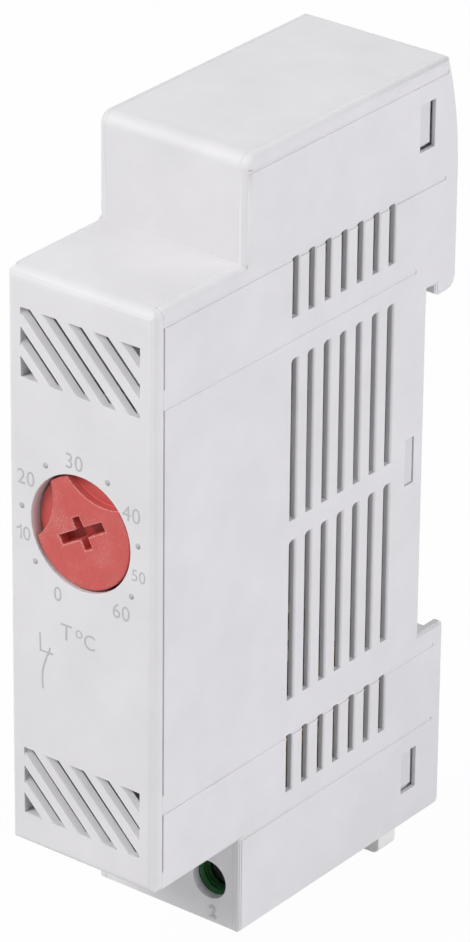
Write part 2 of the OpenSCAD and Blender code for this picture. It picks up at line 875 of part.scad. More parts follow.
// Red knob with a pointer between two scallops and a cross recess
module dial_knob() {
    color(dial_red) placed() translate([0, 0, dial_z]) rotate([0, pointer_turn, 0]) difference() {
        union() {
            rod_y(knob_r, knob_sink, knob_y1);
            rod_y(hub_r, knob_y1 - run_gap, knob_y1 + hub_t);
            span([-stop_lug_w / 2, knob_y1 - run_gap, stop_lug_in],
                [stop_lug_w / 2, knob_y1 + stop_lug_t, stop_lug_out]);
        }
        for (s = [-1, 1])
            rod_y(scallop_r, knob_sink - over, knob_sink + scallop_d, s * scallop_side, scallop_up);
        span([-cross_long / 2, knob_sink - over, -cross_w / 2],
            [cross_long / 2, knob_sink + cross_d, cross_w / 2]);
        span([-cross_w / 2, knob_sink - over, -cross_short / 2],
            [cross_w / 2, knob_sink + cross_d, cross_short / 2]);
        rod_y(spindle_r + run_gap / 2, knob_bore_y, knob_y1 + hub_t + over);
    }
}

// Steel spindle with a ring groove and a threaded end
module dial_spindle() {
    color(steel) placed() translate([0, 0, dial_z]) union() {
        rod_y(spindle_r, knob_bore_y + seat_gap, ring_y);
        rod_y(groove_r, ring_y - run_gap, ring_y + ring_t + run_gap);
        rod_y(thread_r, ring_y + ring_t, spindle_end);
    }
}

// Flanged brass bushing that carries the spindle
module spindle_bushing() {
    color(brass) placed() translate([0, 0, dial_z]) difference() {
        union() {
            rod_y(flange_r, flange_y, plate_y);
            rod_y(bushing_r, plate_y - run_gap, bushing_end);
        }
        rod_y(spindle_r + run_gap, flange_y - over, bushing_end + over);
    }
}

// Six-sided nut that clamps the bushing to the bracket
module bushing_nut() {
    nut_y = plate_y + plate_t + seat_gap;
    color(brass) placed() translate([0, 0, dial_z]) difference() {
        translate([0, nut_y, 0]) rotate([-90, 0, 0]) cylinder(d = nut_across, h = nut_t, $fn = 6);
        rod_y(bushing_r + run_gap / 2, nut_y - over, nut_y + nut_t + over);
    }
}

// Thin washer that keeps the knob where it is put
module friction_washer() {
    y0 = knob_y1 + hub_t + seat_gap;
    color(steel) placed() translate([0, 0, dial_z]) difference() {
        rod_y(washer_r, y0, y0 + washer_t);
        rod_y(spindle_r + run_gap, y0 - over, y0 + washer_t + over);
    }
}

// Open ring that holds the spindle in the bushing
module retaining_ring() {
    color(dark_steel) placed() translate([0, ring_y + run_gap, dial_z]) difference() {
        rod_y(ring_r, 0, ring_t - 2 * run_gap);
        rod_y(groove_r + run_gap / 2, -over, ring_t + over);
        span([-groove_r, -over, -ring_r - over], [groove_r, ring_t + over, 0]);
    }
}

// Steel bracket behind the front plate: carries the bushing, the nut guides and the lever pin
module mechanism_bracket() {
    color(steel) placed() difference() {
        union() {
            span([-plate_half, plate_y, plate_z0], [plate_half, plate_y + plate_t, plate_z1]);
            both_sides() {
                span([plate_half - ear_t, plate_y, pin_z - ear_low],
                    [plate_half, pin_y + ear_back, plate_z0 + ear_high]);
                span([guide_in, plate_y, dial_z - guide_h / 2],
                    [guide_in + guide_t, plate_y + guide_end, dial_z + guide_h / 2]);
            }
        }
        rod_y(bushing_r + run_gap / 2, plate_y - over, plate_y + plate_t + over, 0, dial_z);
        for (z = [boss_low_z, boss_high_z])
            rod_y(tap_r + run_gap, plate_y - over, plate_y + plate_t + over, 0, z);
        translate([-plate_half - over, pin_y, pin_z]) rotate([0, 90, 0])
            cylinder(r = pin_r + run_gap / 2, h = 2 * (plate_half + over));
    }
}

// Two tapping screws that hold the bracket to the front bosses
module bracket_screws() {
    y0 = plate_y + plate_t;
    color(dark_steel) placed() for (z = [boss_low_z, boss_high_z]) difference() {
        union() {
            rod_y(tap_r, y0 - tap_len, y0 + seat_gap + run_gap, 0, z);
            rod_y(tap_head_r, y0 + seat_gap, y0 + seat_gap + tap_head_t, 0, z);
        }
        span([-tap_head_r - over, y0 + tap_head_t / 2, z - trim_slot / 2],
            [tap_head_r + over, y0 + tap_head_t + over, z + trim_slot / 2]);
    }
}

// Nut that the spindle thread moves to and fro, with two prongs that grip the lever
module pressure_nut() {
    color(brass) placed() translate([0, 0, dial_z]) difference() {
        union() {
            span([-block_half, block_y, -block_h / 2], [block_half, block_y + block_t, block_h / 2]);
            both_sides() {
                span([prong_in, block_y, -prong_h / 2], [block_half, lever_y - slide_gap, prong_h / 2]);
                span([prong_in, block_y, -prong_h / 2],
                    [prong_neck, lever_y + lever_t + slide_gap + prong_lip_t, prong_h / 2]);
                span([prong_in, lever_y + lever_t + slide_gap, -prong_h / 2],
                    [block_half + lip_reach, lever_y + lever_t + slide_gap + prong_lip_t, prong_h / 2]);
            }
        }
        rod_y(thread_r + run_gap, block_y - over, block_y + block_t + over);
    }
}

// Lever that tilts the bimetal strip when the dial is turned
module setting_lever() {
    color(steel) placed() difference() {
        union() {
            span([-lever_half, lever_y, base_z], [lever_half, lever_y + lever_t, dial_z + lever_top]);
            span([-lever_wide, lever_y, base_z], [lever_wide, pin_y + base_back, base_z + lever_t]);
            both_sides() span([lever_wide - lever_ear_t, pin_y - lever_ear_reach, base_z],
                [lever_wide, pin_y + lever_ear_reach, pin_z + lever_ear_up]);
        }
        both_sides() span([lever_slot_in, lever_y - over, dial_z - prong_h / 2 - slide_gap],
            [lever_slot_out, lever_y + lever_t + over, dial_z + prong_h / 2 + slide_gap]);
        translate([-lever_wide - over, pin_y, pin_z]) rotate([0, 90, 0])
            cylinder(r = pin_r + run_gap, h = 2 * (lever_wide + over));
        for (s = [-1, 1])
            rod_z(rivet_r + run_gap / 2, base_z - over, base_z + lever_t + over,
                s * rivet_x, pin_y - rivet_in);
        rod_z(trim_r + run_gap, base_z - over, base_z + lever_t + over, 0, pin_y + trim_in);
    }
}

// Pin that the lever turns on
module lever_pin() {
    reach = plate_half + pin_over;
    color(dark_steel) placed() translate([-reach, pin_y, pin_z]) rotate([0, 90, 0])
        cylinder(r = pin_r, h = 2 * reach);
}

// Strip of two metals that bends with the temperature
module bimetal_strip() {
    color(copper) placed() difference() {
        span([-bimetal_half, pin_y - bimetal_front, bimetal_z],
            [bimetal_half, pin_y + bimetal_reach, bimetal_z + bimetal_t]);
        for (s = [-1, 1])
            rod_z(rivet_r + run_gap / 2, bimetal_z - over, base_z, s * rivet_x, pin_y - rivet_in);
        rod_z(pusher_neck_r + run_gap / 2, bimetal_z - over, base_z, 0, pin_y + pusher_in);
    }
}

// Two rivets that join the strip to the lever
module bimetal_rivets() {
    low = bimetal_z - run_gap / 2;
    high = base_z + lever_t + run_gap / 2;
    color(steel) placed() for (s = [-1, 1]) {
        rod_z(rivet_r, low - rivet_head_t, high + rivet_head_t, s * rivet_x, pin_y - rivet_in);
        rod_z(rivet_head_r, low - rivet_head_t, low, s * rivet_x, pin_y - rivet_in);
        rod_z(rivet_head_r, high, high + rivet_head_t, s * rivet_x, pin_y - rivet_in);
    }
}

// Slotted screw that trims the strip
module calibration_screw() {
    color(brass) placed() difference() {
        rod_z(trim_r, base_z, base_z + trim_len, 0, pin_y + trim_in);
        span([-trim_r - over, pin_y + trim_in - trim_slot / 2, base_z + trim_len - trim_slot],
            [trim_r + over, pin_y + trim_in + trim_slot / 2, base_z + trim_len + over]);
    }
}

// Insulating stud at the free end of the strip
module bimetal_pusher() {
    top = bimetal_z + bimetal_t;
    color(clip_white) placed() union() {
        rod_z(pusher_r, pusher_low, bimetal_z - run_gap / 2, 0, pin_y + pusher_in);
        rod_z(pusher_neck_r, bimetal_z - pusher_neck_r, top + rivet_head_t, 0, pin_y + pusher_in);
        rod_z(pusher_r, top + run_gap / 2, top + rivet_head_t, 0, pin_y + pusher_in);
    }
}

// Springy arm that rocks on the edge of the line bar
module contact_arm() {
    color(copper) placed() difference() {
        union() {
            span([-arm_neck, post_y - arm_front, arm_z], [arm_neck, post_y + bar_t + arm_tail, arm_top]);
            span([-arm_half, post_y - arm_front, arm_z], [arm_half, button_y + button_r, arm_top]);
        }
        rod_z(shank_r + run_gap / 2, arm_z - over, arm_top + over, 0, button_y);
    }
}

// Contact button on the arm
module moving_contact() {
    color(silver) placed() union() {
        rod_z(button_r, button_low, arm_z - run_gap / 2, 0, button_y);
        rod_z(shank_r, button_low, arm_top + arm_t, 0, button_y);
    }
}

// Iron plate under the end of the arm that the magnet pulls
module armature_plate() {
    y0 = post_y - arm_front;
    color(dark_steel) placed()
        span([-armature_half, y0, arm_z - lever_t], [armature_half, y0 + armature_d, arm_z]);
}

// Contact button riveted to the load bar
module fixed_contact() {
    color(silver) placed() union() {
        rod_z(button_r, load_z1 + run_gap / 2, anvil_top, 0, button_y);
        rod_z(shank_r, load_z0 - arm_t, anvil_top, 0, button_y);
    }
}

// Magnet that makes the contact snap
module snap_magnet() {
    y0 = post_y - arm_front;
    color(dark_steel) placed() span([-magnet_half, y0 - run_gap, load_z1 + run_gap / 2],
        [magnet_half, y0 + armature_d + run_gap, arm_z - lever_t - magnet_gap]);
}

// Bar from the right terminal to the fixed contact
module load_bar() {
    color(brass) placed() difference() {
        union() {
            span([term_x - tongue_half, bar_y0, tongue_z0], [term_x + tongue_half, bar_y1, load_z1]);
            span([-arm_half, bar_y0, load_z0], [term_x + tongue_half, button_y + load_reach, load_z1]);
        }
        rod_z(shank_r + run_gap / 2, load_z0 - over, load_z1 + over, 0, button_y);
    }
}

// Bar from the left terminal to the edge that the arm rocks on
module line_bar() {
    color(brass) placed() union() {
        span([-term_x - tongue_half, bar_y0, tongue_z0], [-term_x + tongue_half, bar_y1, line_z1]);
        span([-term_x - tongue_half, bar_y0, line_z0], [-term_x + tongue_half, post_y + bar_t, line_z1]);
        span([-term_x - tongue_half, post_y, line_z0],
            [arm_half, post_y + bar_t, arm_z - slide_gap / 2]);
    }
}

// Green insert that holds both clamps
module terminal_block() {
    color(block_green) placed() difference() {
        span([-tb_half, tb_y0, tb_z0], [tb_half, tb_y1, tb_z1]);
        for (s = [-1, 1]) {
            translate([s * term_x, tb_y0, term_z]) rotate([-90, 0, 0]) translate([0, 0, -run_gap])
                cylinder(r1 = well_r - run_gap, r2 = funnel_r, h = funnel_d);
            rod_y(funnel_r, tb_y0 - over, pocket_y0, s * term_x, term_z);
            for (d = ridge_places)
                rod_y(ridge_r, tb_y0 + d, tb_y0 + d + ridge_gap, s * term_x, term_z);
            rod_y(head_r + head_gap, tb_y0 + lip_d, head_y + head_t + seat_gap, s * term_x, term_z);
            span([s * term_x - tongue_half - run_gap, bar_y0 - run_gap, pocket_top - over],
                [s * term_x + tongue_half + run_gap, bar_y1 + run_gap, tb_z1 + over]);
        }
        both_sides() span([term_x - cage_half - head_gap, pocket_y0, tb_z0 - over],
            [tb_half + over, pocket_y1, pocket_top]);
    }
}

// Terminal screw with a cross recess, turned from the front
module terminal_screw(s) {
    color(steel) placed() translate([s * term_x, 0, term_z]) difference() {
        union() {
            rod_y(head_r, head_y, head_y + head_t);
            rod_y(screw_r, head_y, bar_y0 - slide_gap);
        }
        span([-cross_screw_reach, head_y - over, -cross_screw_w / 2],
            [cross_screw_reach, head_y + cross_screw_d, cross_screw_w / 2]);
        span([-cross_screw_w / 2, head_y - over, -cross_screw_reach],
            [cross_screw_w / 2, head_y + cross_screw_d, cross_screw_reach]);
    }
}

module terminal_screw_left() {
    terminal_screw(-1);
}

module terminal_screw_right() {
    terminal_screw(1);
}

// Cage that draws the wire against the bar when its screw turns
module clamp_cage(s) {
    color(silver) placed() translate([s * term_x, 0, term_z]) difference() {
        span([-cage_half, cage_y0, -cage_below], [cage_half, cage_y1, cage_above]);
        span([-cage_half + cage_t, cage_y0 + cage_front_t, -cage_below - over],
            [cage_half - cage_t, cage_back_y, cage_above + over]);
        rod_y(screw_r + run_gap, cage_y0 - over, cage_y0 + cage_front_t + over);
    }
}

module clamp_cage_left() {
    clamp_cage(-1);
}

module clamp_cage_right() {
    clamp_cage(1);
}

housing_frame();
side_cover_left();
side_cover_right();
rail_clip();
clip_spring();
dial_knob();
dial_spindle();
spindle_bushing();
bushing_nut();
friction_washer();
retaining_ring();
mechanism_bracket();
bracket_screws();
pressure_nut();
setting_lever();
lever_pin();
bimetal_strip();
bimetal_rivets();
calibration_screw();
bimetal_pusher();
contact_arm();
moving_contact();
armature_plate();
fixed_contact();
snap_magnet();
load_bar();
line_bar();
terminal_block();
terminal_screw_left();
terminal_screw_right();
clamp_cage_left();
clamp_cage_right();
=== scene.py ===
"""Looks of a slim rail-mounted panel thermostat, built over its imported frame.

Every piece stays where its solid is. Sizes are millimetres, measured from the
front face, the centre plane and the underside of the housing, and turned into
metres where a mesh is made.
"""

import json
import logging
import math
from dataclasses import dataclass, field
from enum import Enum
from typing import Any, Callable, Iterable, Sequence

import bmesh
import bpy
from mathutils import Euler, Matrix, Vector
from mathutils.geometry import intersect_line_line_2d, intersect_point_line

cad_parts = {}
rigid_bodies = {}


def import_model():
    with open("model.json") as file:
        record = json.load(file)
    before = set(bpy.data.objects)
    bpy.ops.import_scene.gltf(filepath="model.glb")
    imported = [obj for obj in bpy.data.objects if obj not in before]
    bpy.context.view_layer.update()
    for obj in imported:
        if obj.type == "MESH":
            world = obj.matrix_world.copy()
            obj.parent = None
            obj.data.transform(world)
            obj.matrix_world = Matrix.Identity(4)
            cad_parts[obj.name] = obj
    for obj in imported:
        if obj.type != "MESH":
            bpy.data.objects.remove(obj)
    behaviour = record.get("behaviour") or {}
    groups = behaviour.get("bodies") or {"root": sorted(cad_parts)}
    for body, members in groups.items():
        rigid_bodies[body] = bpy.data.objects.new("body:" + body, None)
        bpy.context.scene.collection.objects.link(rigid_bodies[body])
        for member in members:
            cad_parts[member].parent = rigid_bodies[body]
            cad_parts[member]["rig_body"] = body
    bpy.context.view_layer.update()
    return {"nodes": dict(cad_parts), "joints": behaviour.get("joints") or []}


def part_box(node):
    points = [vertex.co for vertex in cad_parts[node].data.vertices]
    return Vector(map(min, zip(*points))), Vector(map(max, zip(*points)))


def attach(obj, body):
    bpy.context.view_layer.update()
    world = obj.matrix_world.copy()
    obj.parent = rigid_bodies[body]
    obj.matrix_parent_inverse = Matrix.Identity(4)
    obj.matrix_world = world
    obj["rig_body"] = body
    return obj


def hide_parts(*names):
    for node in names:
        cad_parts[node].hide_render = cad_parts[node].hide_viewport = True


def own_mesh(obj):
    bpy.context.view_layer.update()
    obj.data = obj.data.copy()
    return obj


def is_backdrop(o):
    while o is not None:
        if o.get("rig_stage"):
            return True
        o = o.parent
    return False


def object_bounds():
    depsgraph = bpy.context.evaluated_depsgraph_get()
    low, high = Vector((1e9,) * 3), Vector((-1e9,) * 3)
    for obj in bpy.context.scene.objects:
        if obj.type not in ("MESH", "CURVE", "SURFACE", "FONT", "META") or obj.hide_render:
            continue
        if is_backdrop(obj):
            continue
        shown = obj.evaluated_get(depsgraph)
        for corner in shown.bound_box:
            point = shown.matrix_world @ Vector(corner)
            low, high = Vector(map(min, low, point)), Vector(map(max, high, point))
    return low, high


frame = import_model()

LOG = logging.getLogger("thermostat")
MM = 0.001

Colour = tuple[float, float, float]
Number = float | int


def srgb(red: int, green: int, blue: int) -> Colour:
    """Turns a colour as it is seen on a screen into linear light.

    Args:
        red: Red from 0 to 255.
        green: Green from 0 to 255.
        blue: Blue from 0 to 255.

    Returns:
        The same colour in linear light.
    """
    def channel(value: int) -> float:
        """One channel in linear light."""
        share = value / 255
        return share / 12.92 if share <= 0.04045 else ((share + 0.055) / 1.055) ** 2.4

    return channel(red), channel(green), channel(blue)


class Rounding(Enum):
    """How far the edges of a kind of piece are rounded, in millimetres."""

    MOULDED = 0.11
    FINE = 0.05
    STAMPED = 0.06
    TURNED = 0.04


@dataclass(frozen=True)
class Datum:
    """Where the front face, the centre plane and the underside lie in the row frame."""

    front: float
    base: float

    @classmethod
    def from_frame(cls) -> "Datum":
        """Reads the datum planes off the housing's solid."""
        low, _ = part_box("housing_frame")
        return cls(front=low.y, base=low.z)

    def point(self, x: Number, y: Number, z: Number) -> Vector:
        """Turns millimetres from the datum planes into a point of the row frame.

        Args:
            x: Distance to the right of the centre plane.
            y: Depth behind the front face.
            z: Height above the underside.

        Returns:
            The point in metres.
        """
        return Vector((x * MM, self.front + y * MM, self.base + z * MM))


DATUM = Datum.from_frame()


# Shader maths and nodes

class Signal:
    """A node socket that takes part in arithmetic."""

    def __init__(self, sheet: "NodeSheet", socket: bpy.types.NodeSocket) -> None:
        """Keeps the socket and the sheet that it is on."""
        self.sheet = sheet
        self.socket = socket

    def __add__(self, other: "Signal | Number") -> "Signal":
        """Sum of this signal and another value."""
        return self.sheet.maths("ADD", self, other)

    def __radd__(self, other: Number) -> "Signal":
        """Sum of a number and this signal."""
        return self.sheet.maths("ADD", other, self)

    def __sub__(self, other: "Signal | Number") -> "Signal":
        """This signal less another value."""
        return self.sheet.maths("SUBTRACT", self, other)

    def __rsub__(self, other: Number) -> "Signal":
        """A number less this signal."""
        return self.sheet.maths("SUBTRACT", other, self)

    def __mul__(self, other: "Signal | Number") -> "Signal":
        """Product of this signal and another value."""
        return self.sheet.maths("MULTIPLY", self, other)

    def __rmul__(self, other: Number) -> "Signal":
        """Product of a number and this signal."""
        return self.sheet.maths("MULTIPLY", other, self)

    def __truediv__(self, other: "Signal | Number") -> "Signal":
        """This signal divided by another value."""
        return self.sheet.maths("DIVIDE", self, other)

    def __pow__(self, other: "Signal | Number") -> "Signal":
        """This signal to a power."""
        return self.sheet.maths("POWER", self, other)


class Sheet:
    """A node tree that is written as expressions."""

    def __init__(self, tree: bpy.types.NodeTree) -> None:
        """Keeps the tree."""
        self.tree = tree

    def node(self, kind: str, settings: dict[str, Any] | None = None,
             inputs: dict[str | int, Any] | None = None) -> bpy.types.Node:
        """Adds a node, sets it up and links it.

        Args:
            kind: Blender's name of the node type.
            settings: Properties of the node, and "stops" for a colour ramp.
            inputs: Values, signals or sockets by the name or the place of a socket.

        Returns:
            The new node.
        """
        made = self.tree.nodes.new(kind)
        for key, value in (settings or {}).items():
            if key == "stops":
                self._set_stops(made.color_ramp, value)
            else:
                setattr(made, key, value)
        for key, value in (inputs or {}).items():
            self._feed(made.inputs[key], value)
        return made

    def _feed(self, socket: bpy.types.NodeSocket, value: Any) -> None:
        """Links a signal or a socket to a socket, or writes a value on it."""
        source = value.socket if isinstance(value, Signal) else value
        if isinstance(source, bpy.types.NodeSocket):
            self.tree.links.new(source, socket)
        elif isinstance(value, tuple) and len(value) == 3 and socket.type == "RGBA":
            socket.default_value = (*value, 1.0)
        else:
            socket.default_value = value

    @staticmethod
    def _set_stops(ramp: bpy.types.ColorRamp, stops: Sequence[tuple[float, float]]) -> None:
        """Sets a grey ramp from pairs of place and value."""
        while len(ramp.elements) < len(stops):
            ramp.elements.new(0.5)
        for element, (place, value) in zip(ramp.elements, stops):
            element.position = place
            element.color = (value, value, value, 1.0)


class NodeSheet(Sheet):
    """The node tree of a material or of the world."""

    def __init__(self, owner: bpy.types.Material | bpy.types.World,
                 output: str = "ShaderNodeOutputMaterial") -> None:
        """Empties the tree and gives it an output.

        Args:
            owner: Material or world that the tree belongs to.
            output: Blender's name of the output node.
        """
        owner.use_nodes = True
        super().__init__(owner.node_tree)
        self.owner = owner
        self.tree.nodes.clear()
        self.output = self.tree.nodes.new(output)

    @classmethod
    def material(cls, name: str) -> "NodeSheet":
        """An empty sheet for a new material."""
        return cls(bpy.data.materials.new(name))

    def value(self, kind: str, settings: dict[str, Any] | None = None,
              inputs: dict[str | int, Any] | None = None, output: str | int = 0) -> Signal:
        """Adds a node and hands out one of its outputs."""
        return Signal(self, self.node(kind, settings, inputs).outputs[output])

    def maths(self, operation: str, first: Signal | Number, second: Signal | Number) -> Signal:
        """Result of one operation, by Blender's name, on two values."""
        return self.value("ShaderNodeMath", {"operation": operation}, {0: first, 1: second})

    def places(self, stretch: tuple[float, float, float] = (1.0, 1.0, 1.0)) -> Signal:
        """Object coordinates, stretched along the axes."""
        source = self.value("ShaderNodeTexCoord", output="Object")
        return self.value("ShaderNodeMapping", inputs={"Vector": source, "Scale": stretch})

    def turned(self, centre: Vector, degrees: float) -> tuple[Signal, Signal, Signal]:
        """Coordinates of a face that looks to the front, about a centre and turned with it.

        Args:
            centre: The centre in metres.
            degrees: How far the face is turned.

        Returns:
            Distances from the centre along, behind and upwards, in millimetres.
        """
        moved = self.value("ShaderNodeMapping", {"vector_type": "TEXTURE"}, {
            "Vector": self.value("ShaderNodeTexCoord", output="Object"),
            "Location": tuple(centre), "Rotation": (0.0, math.radians(degrees), 0.0),
            "Scale": (MM, MM, MM)})
        parts = self.node("ShaderNodeSeparateXYZ", inputs={0: moved})
        along, behind, up = (Signal(self, parts.outputs[axis]) for axis in "XYZ")
        return along, behind, up

    def size(self, value: Signal) -> Signal:
        """A value without its sign."""
        return self.maths("ABSOLUTE", value, 0.0)

    def band(self, distance: Signal, width: float) -> Signal:
        """A band that fades from 1 at no distance to 0 at its width."""
        return self.ramp(self.size(distance) / width, ((0.0, 1.0), (1.0, 0.0)))

    def noise(self, where: Signal, scale: float, detail: float = 2.0,
              rough: float = 0.5) -> Signal:
        """Noise from 0 to 1.

        Args:
            where: Coordinates.
            scale: Cells to the metre.
            detail: Number of finer layers.
            rough: Strength of the finer layers.

        Returns:
            The noise value.
        """
        return self.value("ShaderNodeTexNoise", {"noise_dimensions": "3D"}, {
            "Vector": where, "Scale": scale, "Detail": detail, "Roughness": rough})

    def ramp(self, value: Signal, stops: Sequence[tuple[float, float]]) -> Signal:
        """A value from 0 to 1 passed through pairs of place and value."""
        return self.value("ShaderNodeValToRGB", {"stops": stops}, {"Fac": value})

    def mix(self, share: Signal | Number, first: Any, second: Any) -> Signal:
        """Mix of two colours or signals with a share of the second."""
        return self.value(
            "ShaderNodeMix", {"data_type": "RGBA"}, {0: share, 6: first, 7: second}, 2)

    def bump(self, height: Signal, strength: float, distance_mm: float) -> Signal:
        """Normal of a relief from its height, its strength and its depth in millimetres."""
        return self.value("ShaderNodeBump", inputs={
            "Strength": strength, "Distance": distance_mm * MM, "Height": height})

    def seen(self, first: str, second: str) -> Signal:
        """1 for two kinds of ray by their names on the Light Path node, else 0."""
        path = self.node("ShaderNodeLightPath")
        return self.maths(
            "MAXIMUM", Signal(self, path.outputs[first]), Signal(self, path.outputs[second]))

    def surface(self, shader: bpy.types.Node) -> None:
        """Hands a shader to the output."""
        self.tree.links.new(shader.outputs[0], self.output.inputs["Surface"])

    def finish(self, **inputs: Any) -> bpy.types.Material:
        """Ends the sheet in a Principled shader.

        Args:
            inputs: Values by socket name, with low lines for the spaces.

        Returns:
            The finished material.
        """
        named = {key.replace("_", " "): value for key, value in inputs.items()}
        self.surface(self.node("ShaderNodeBsdfPrincipled", inputs=named))
        return self.owner


# Finishes

def shade(colour: Colour, factor: float) -> Colour:
    """A colour made lighter or darker by a factor."""
    return tuple(min(1.0, part * factor) for part in colour)


@dataclass(frozen=True)
class MouldedPlastic:
    """Spark-eroded moulded plastic with a faint mottle.

    Attributes:
        name: Name of the material.
        colour: Main colour in linear light.
        roughness: Mean roughness.
        grain_mm: Size of the surface grain.
        relief_mm: Height of the surface grain.
        mottle: How much the colour varies.
        dust: How much paler the grain's high points are.
        clouds: Patches of the mottle to the metre.
        flow: Streaks of the melt to the metre.
        uneven: How much the roughness varies with the streaks and with the grain.
        latch: How far out and how deep the latches begin, which lie in shaded windows.
        latch_painted_shade: Colour of the painted shade on these latches, in linear light.
    """

    name: str
    colour: Colour
    roughness: float = 0.55
    grain_mm: float = 0.16
    relief_mm: float = 0.012
    mottle: float = 0.03
    dust: float = 0.02
    clouds: float = 160.0
    flow: float = 420.0
    uneven: tuple[float, float] = (0.12, 0.1)
    latch: tuple[float, float] | None = None
    latch_painted_shade: Colour = srgb(216, 215, 220)

    def make(self) -> bpy.types.Material:
        """Builds the material."""
        sheet = NodeSheet.material(self.name)
        where = sheet.places()
        grain = sheet.noise(where, 1.0 / (self.grain_mm * MM), 3.0, 0.55)
        cloud = sheet.noise(where, self.clouds, 3.0, 0.6)
        flow = sheet.noise(sheet.places((1.0, 1.0, 0.25)), self.flow)
        soft = sheet.ramp(cloud, ((0.3, 0.0), (0.7, 1.0)))
        ground = sheet.mix(
            soft, shade(self.colour, 1 - self.mottle), shade(self.colour, 1 + self.mottle))
        speck = sheet.ramp(grain, ((0.55, 0.0), (0.75, 1.0)))
        colour = sheet.mix(speck * self.dust, ground, (0.9, 0.9, 0.88))
        # Painted shade: the latches in the side windows are the same plastic, but get a darker,
        # bluer grey that stands in for the shade of the window edges.
        if self.latch:
            across, behind, _ = sheet.turned(DATUM.point(0.0, 0.0, 0.0), 0.0)
            outer = sheet.maths("GREATER_THAN", sheet.size(across), self.latch[0])
            inner = sheet.maths("GREATER_THAN", behind, self.latch[1])
            colour = sheet.mix(outer * inner, colour, self.latch_painted_shade)
        rough = self.roughness + (flow - 0.5) * self.uneven[0] + (grain - 0.5) * self.uneven[1]
        return sheet.finish(
            Base_Color=colour, Roughness=rough, IOR=1.5, Specular_IOR_Level=0.42,
            Normal=sheet.bump(grain + flow * 0.3, 0.55, self.relief_mm))


@dataclass(frozen=True)
class DialPlastic:
    """Dull plastic of the dial: chalky patches, worn pale rims with a painted highlight, and
    painted shade in the cross.

    Attributes:
        name: Name of the material.
        colour: Main colour in linear light.
        chalk_and_highlight: Colour of the specks and of the painted highlight on the rims, in
            linear light.
        grain_mm: Size of the specks.
        patch_mm: Size of the patches that they lie in.
        relief_mm: Height of the surface grain.
        clouds: Paler and darker patches of the plastic to the metre.
        roughness: Mean roughness.
        dial_z: Height of the dial's centre.
        turn_deg: How far the pointer is turned at rest.
        cross: Length and height of the cross recess and width of its arms.
        scallop: Place of a scallop's centre, to the side and up, and its radius.
        rim: Width of the pale band, worn and painted as a highlight, round the cross and along the
            scallops.
        face_mm: How far behind the front datum the face ends.
        deep: Colour of the painted shade in the cross recess, in linear light.
        rim_wear_and_highlight: How pale the rims of the cross and of the scallops are, partly worn
            and partly a painted highlight.
        dust: Share of the specks everywhere, more of it on the face, and on its worn patches.
    """

    name: str
    colour: Colour
    chalk_and_highlight: Colour = srgb(236, 200, 190)
    grain_mm: float = 0.15
    patch_mm: float = 3.4
    relief_mm: float = 0.014
    clouds: float = 500.0
    roughness: float = 0.46
    dial_z: float = 46.15
    turn_deg: float = -30.0
    cross: tuple[float, float, float] = (5.9, 3.3, 0.98)
    scallop: tuple[float, float, float] = (7.0, 6.85, 6.0)
    rim: tuple[float, float] = (0.2, 0.1)
    face_mm: float = 0.35
    deep: Colour = srgb(158, 42, 38)
    rim_wear_and_highlight: tuple[float, float] = (0.55, 0.45)
    dust: tuple[float, float, float] = (0.08, 0.06, 0.4)

    def make(self) -> bpy.types.Material:
        """Builds the material."""
        sheet = NodeSheet.material(self.name)
        where = sheet.places()
        grain = sheet.noise(where, 1.0 / (self.grain_mm * MM), 2.0, 0.6)
        patch = sheet.noise(where, 1.0 / (self.patch_mm * MM), 3.0, 0.55)
        cloud = sheet.noise(where, self.clouds, 3.0, 0.6)
        worn = sheet.ramp(patch, ((0.44, 0.0), (0.68, 1.0)))
        specks = sheet.ramp(grain, ((0.57, 0.0), (0.72, 1.0)))
        ragged = sheet.ramp(grain, ((0.42, 0.0), (0.56, 1.0)))
        along, behind, up = sheet.turned(DATUM.point(0.0, 0.0, self.dial_z), self.turn_deg)
        cross, inside = self._cross(sheet, sheet.size(along), sheet.size(up))
        edge = sheet.band(self._scallop(sheet.size(along), up), self.rim[1])
        front = sheet.maths("LESS_THAN", behind, self.face_mm)
        # The pale rims round the cross and along the scallops are partly worn and partly a painted
        # highlight.
        rims = ragged * front * (cross * self.rim_wear_and_highlight[0] + edge * self.rim_wear_and_highlight[1])
        everywhere, face, patches = self.dust
        chalk_and_highlight = specks * (everywhere + front * face + worn * front * patches) + rims
        ground = sheet.mix(cloud, shade(self.colour, 0.93), shade(self.colour, 1.08))
        dust_and_highlight = sheet.mix(chalk_and_highlight + worn * front * 0.1, ground, self.chalk_and_highlight)
        # Painted shade: the inside of the cross recess turns a darker red that stands in for the
        # shade in it.
        colour = sheet.mix(inside, dust_and_highlight, self.deep)
        rough = self.roughness + worn * 0.12 + (grain - 0.5) * 0.12
        return sheet.finish(
            Base_Color=colour, Roughness=rough, IOR=1.5, Specular_IOR_Level=0.45,
            Normal=sheet.bump(grain + cloud * 0.4, 0.6, self.relief_mm))

    def _cross(self, sheet: NodeSheet, along: Signal, up: Signal) -> tuple[Signal, Signal]:
        """The pale band, worn and painted as a highlight, round the cross, and the recess itself.

        Args:
            sheet: Sheet of the material.
            along: Distance from the centre along the long arm.
            up: Distance from the centre along the short arm.

        Returns:
            The band and the inside of the recess, both from 0 to 1.
        """
        length, height, width = (part / 2 for part in self.cross)
        long_arm = sheet.maths("MAXIMUM", along - length, up - width)
        short_arm = sheet.maths("MAXIMUM", along - width, up - height)
        outside = sheet.maths("MINIMUM", long_arm, short_arm)
        return sheet.band(outside, self.rim[0]), sheet.maths("LESS_THAN", outside, -0.02)

    def _scallop(self, along: Signal, up: Signal) -> Signal:
        """Distance from the edge of a scallop in millimetres."""
        side, height, radius = self.scallop
        return ((along - side) ** 2 + (up - height) ** 2) ** 0.5 - radius


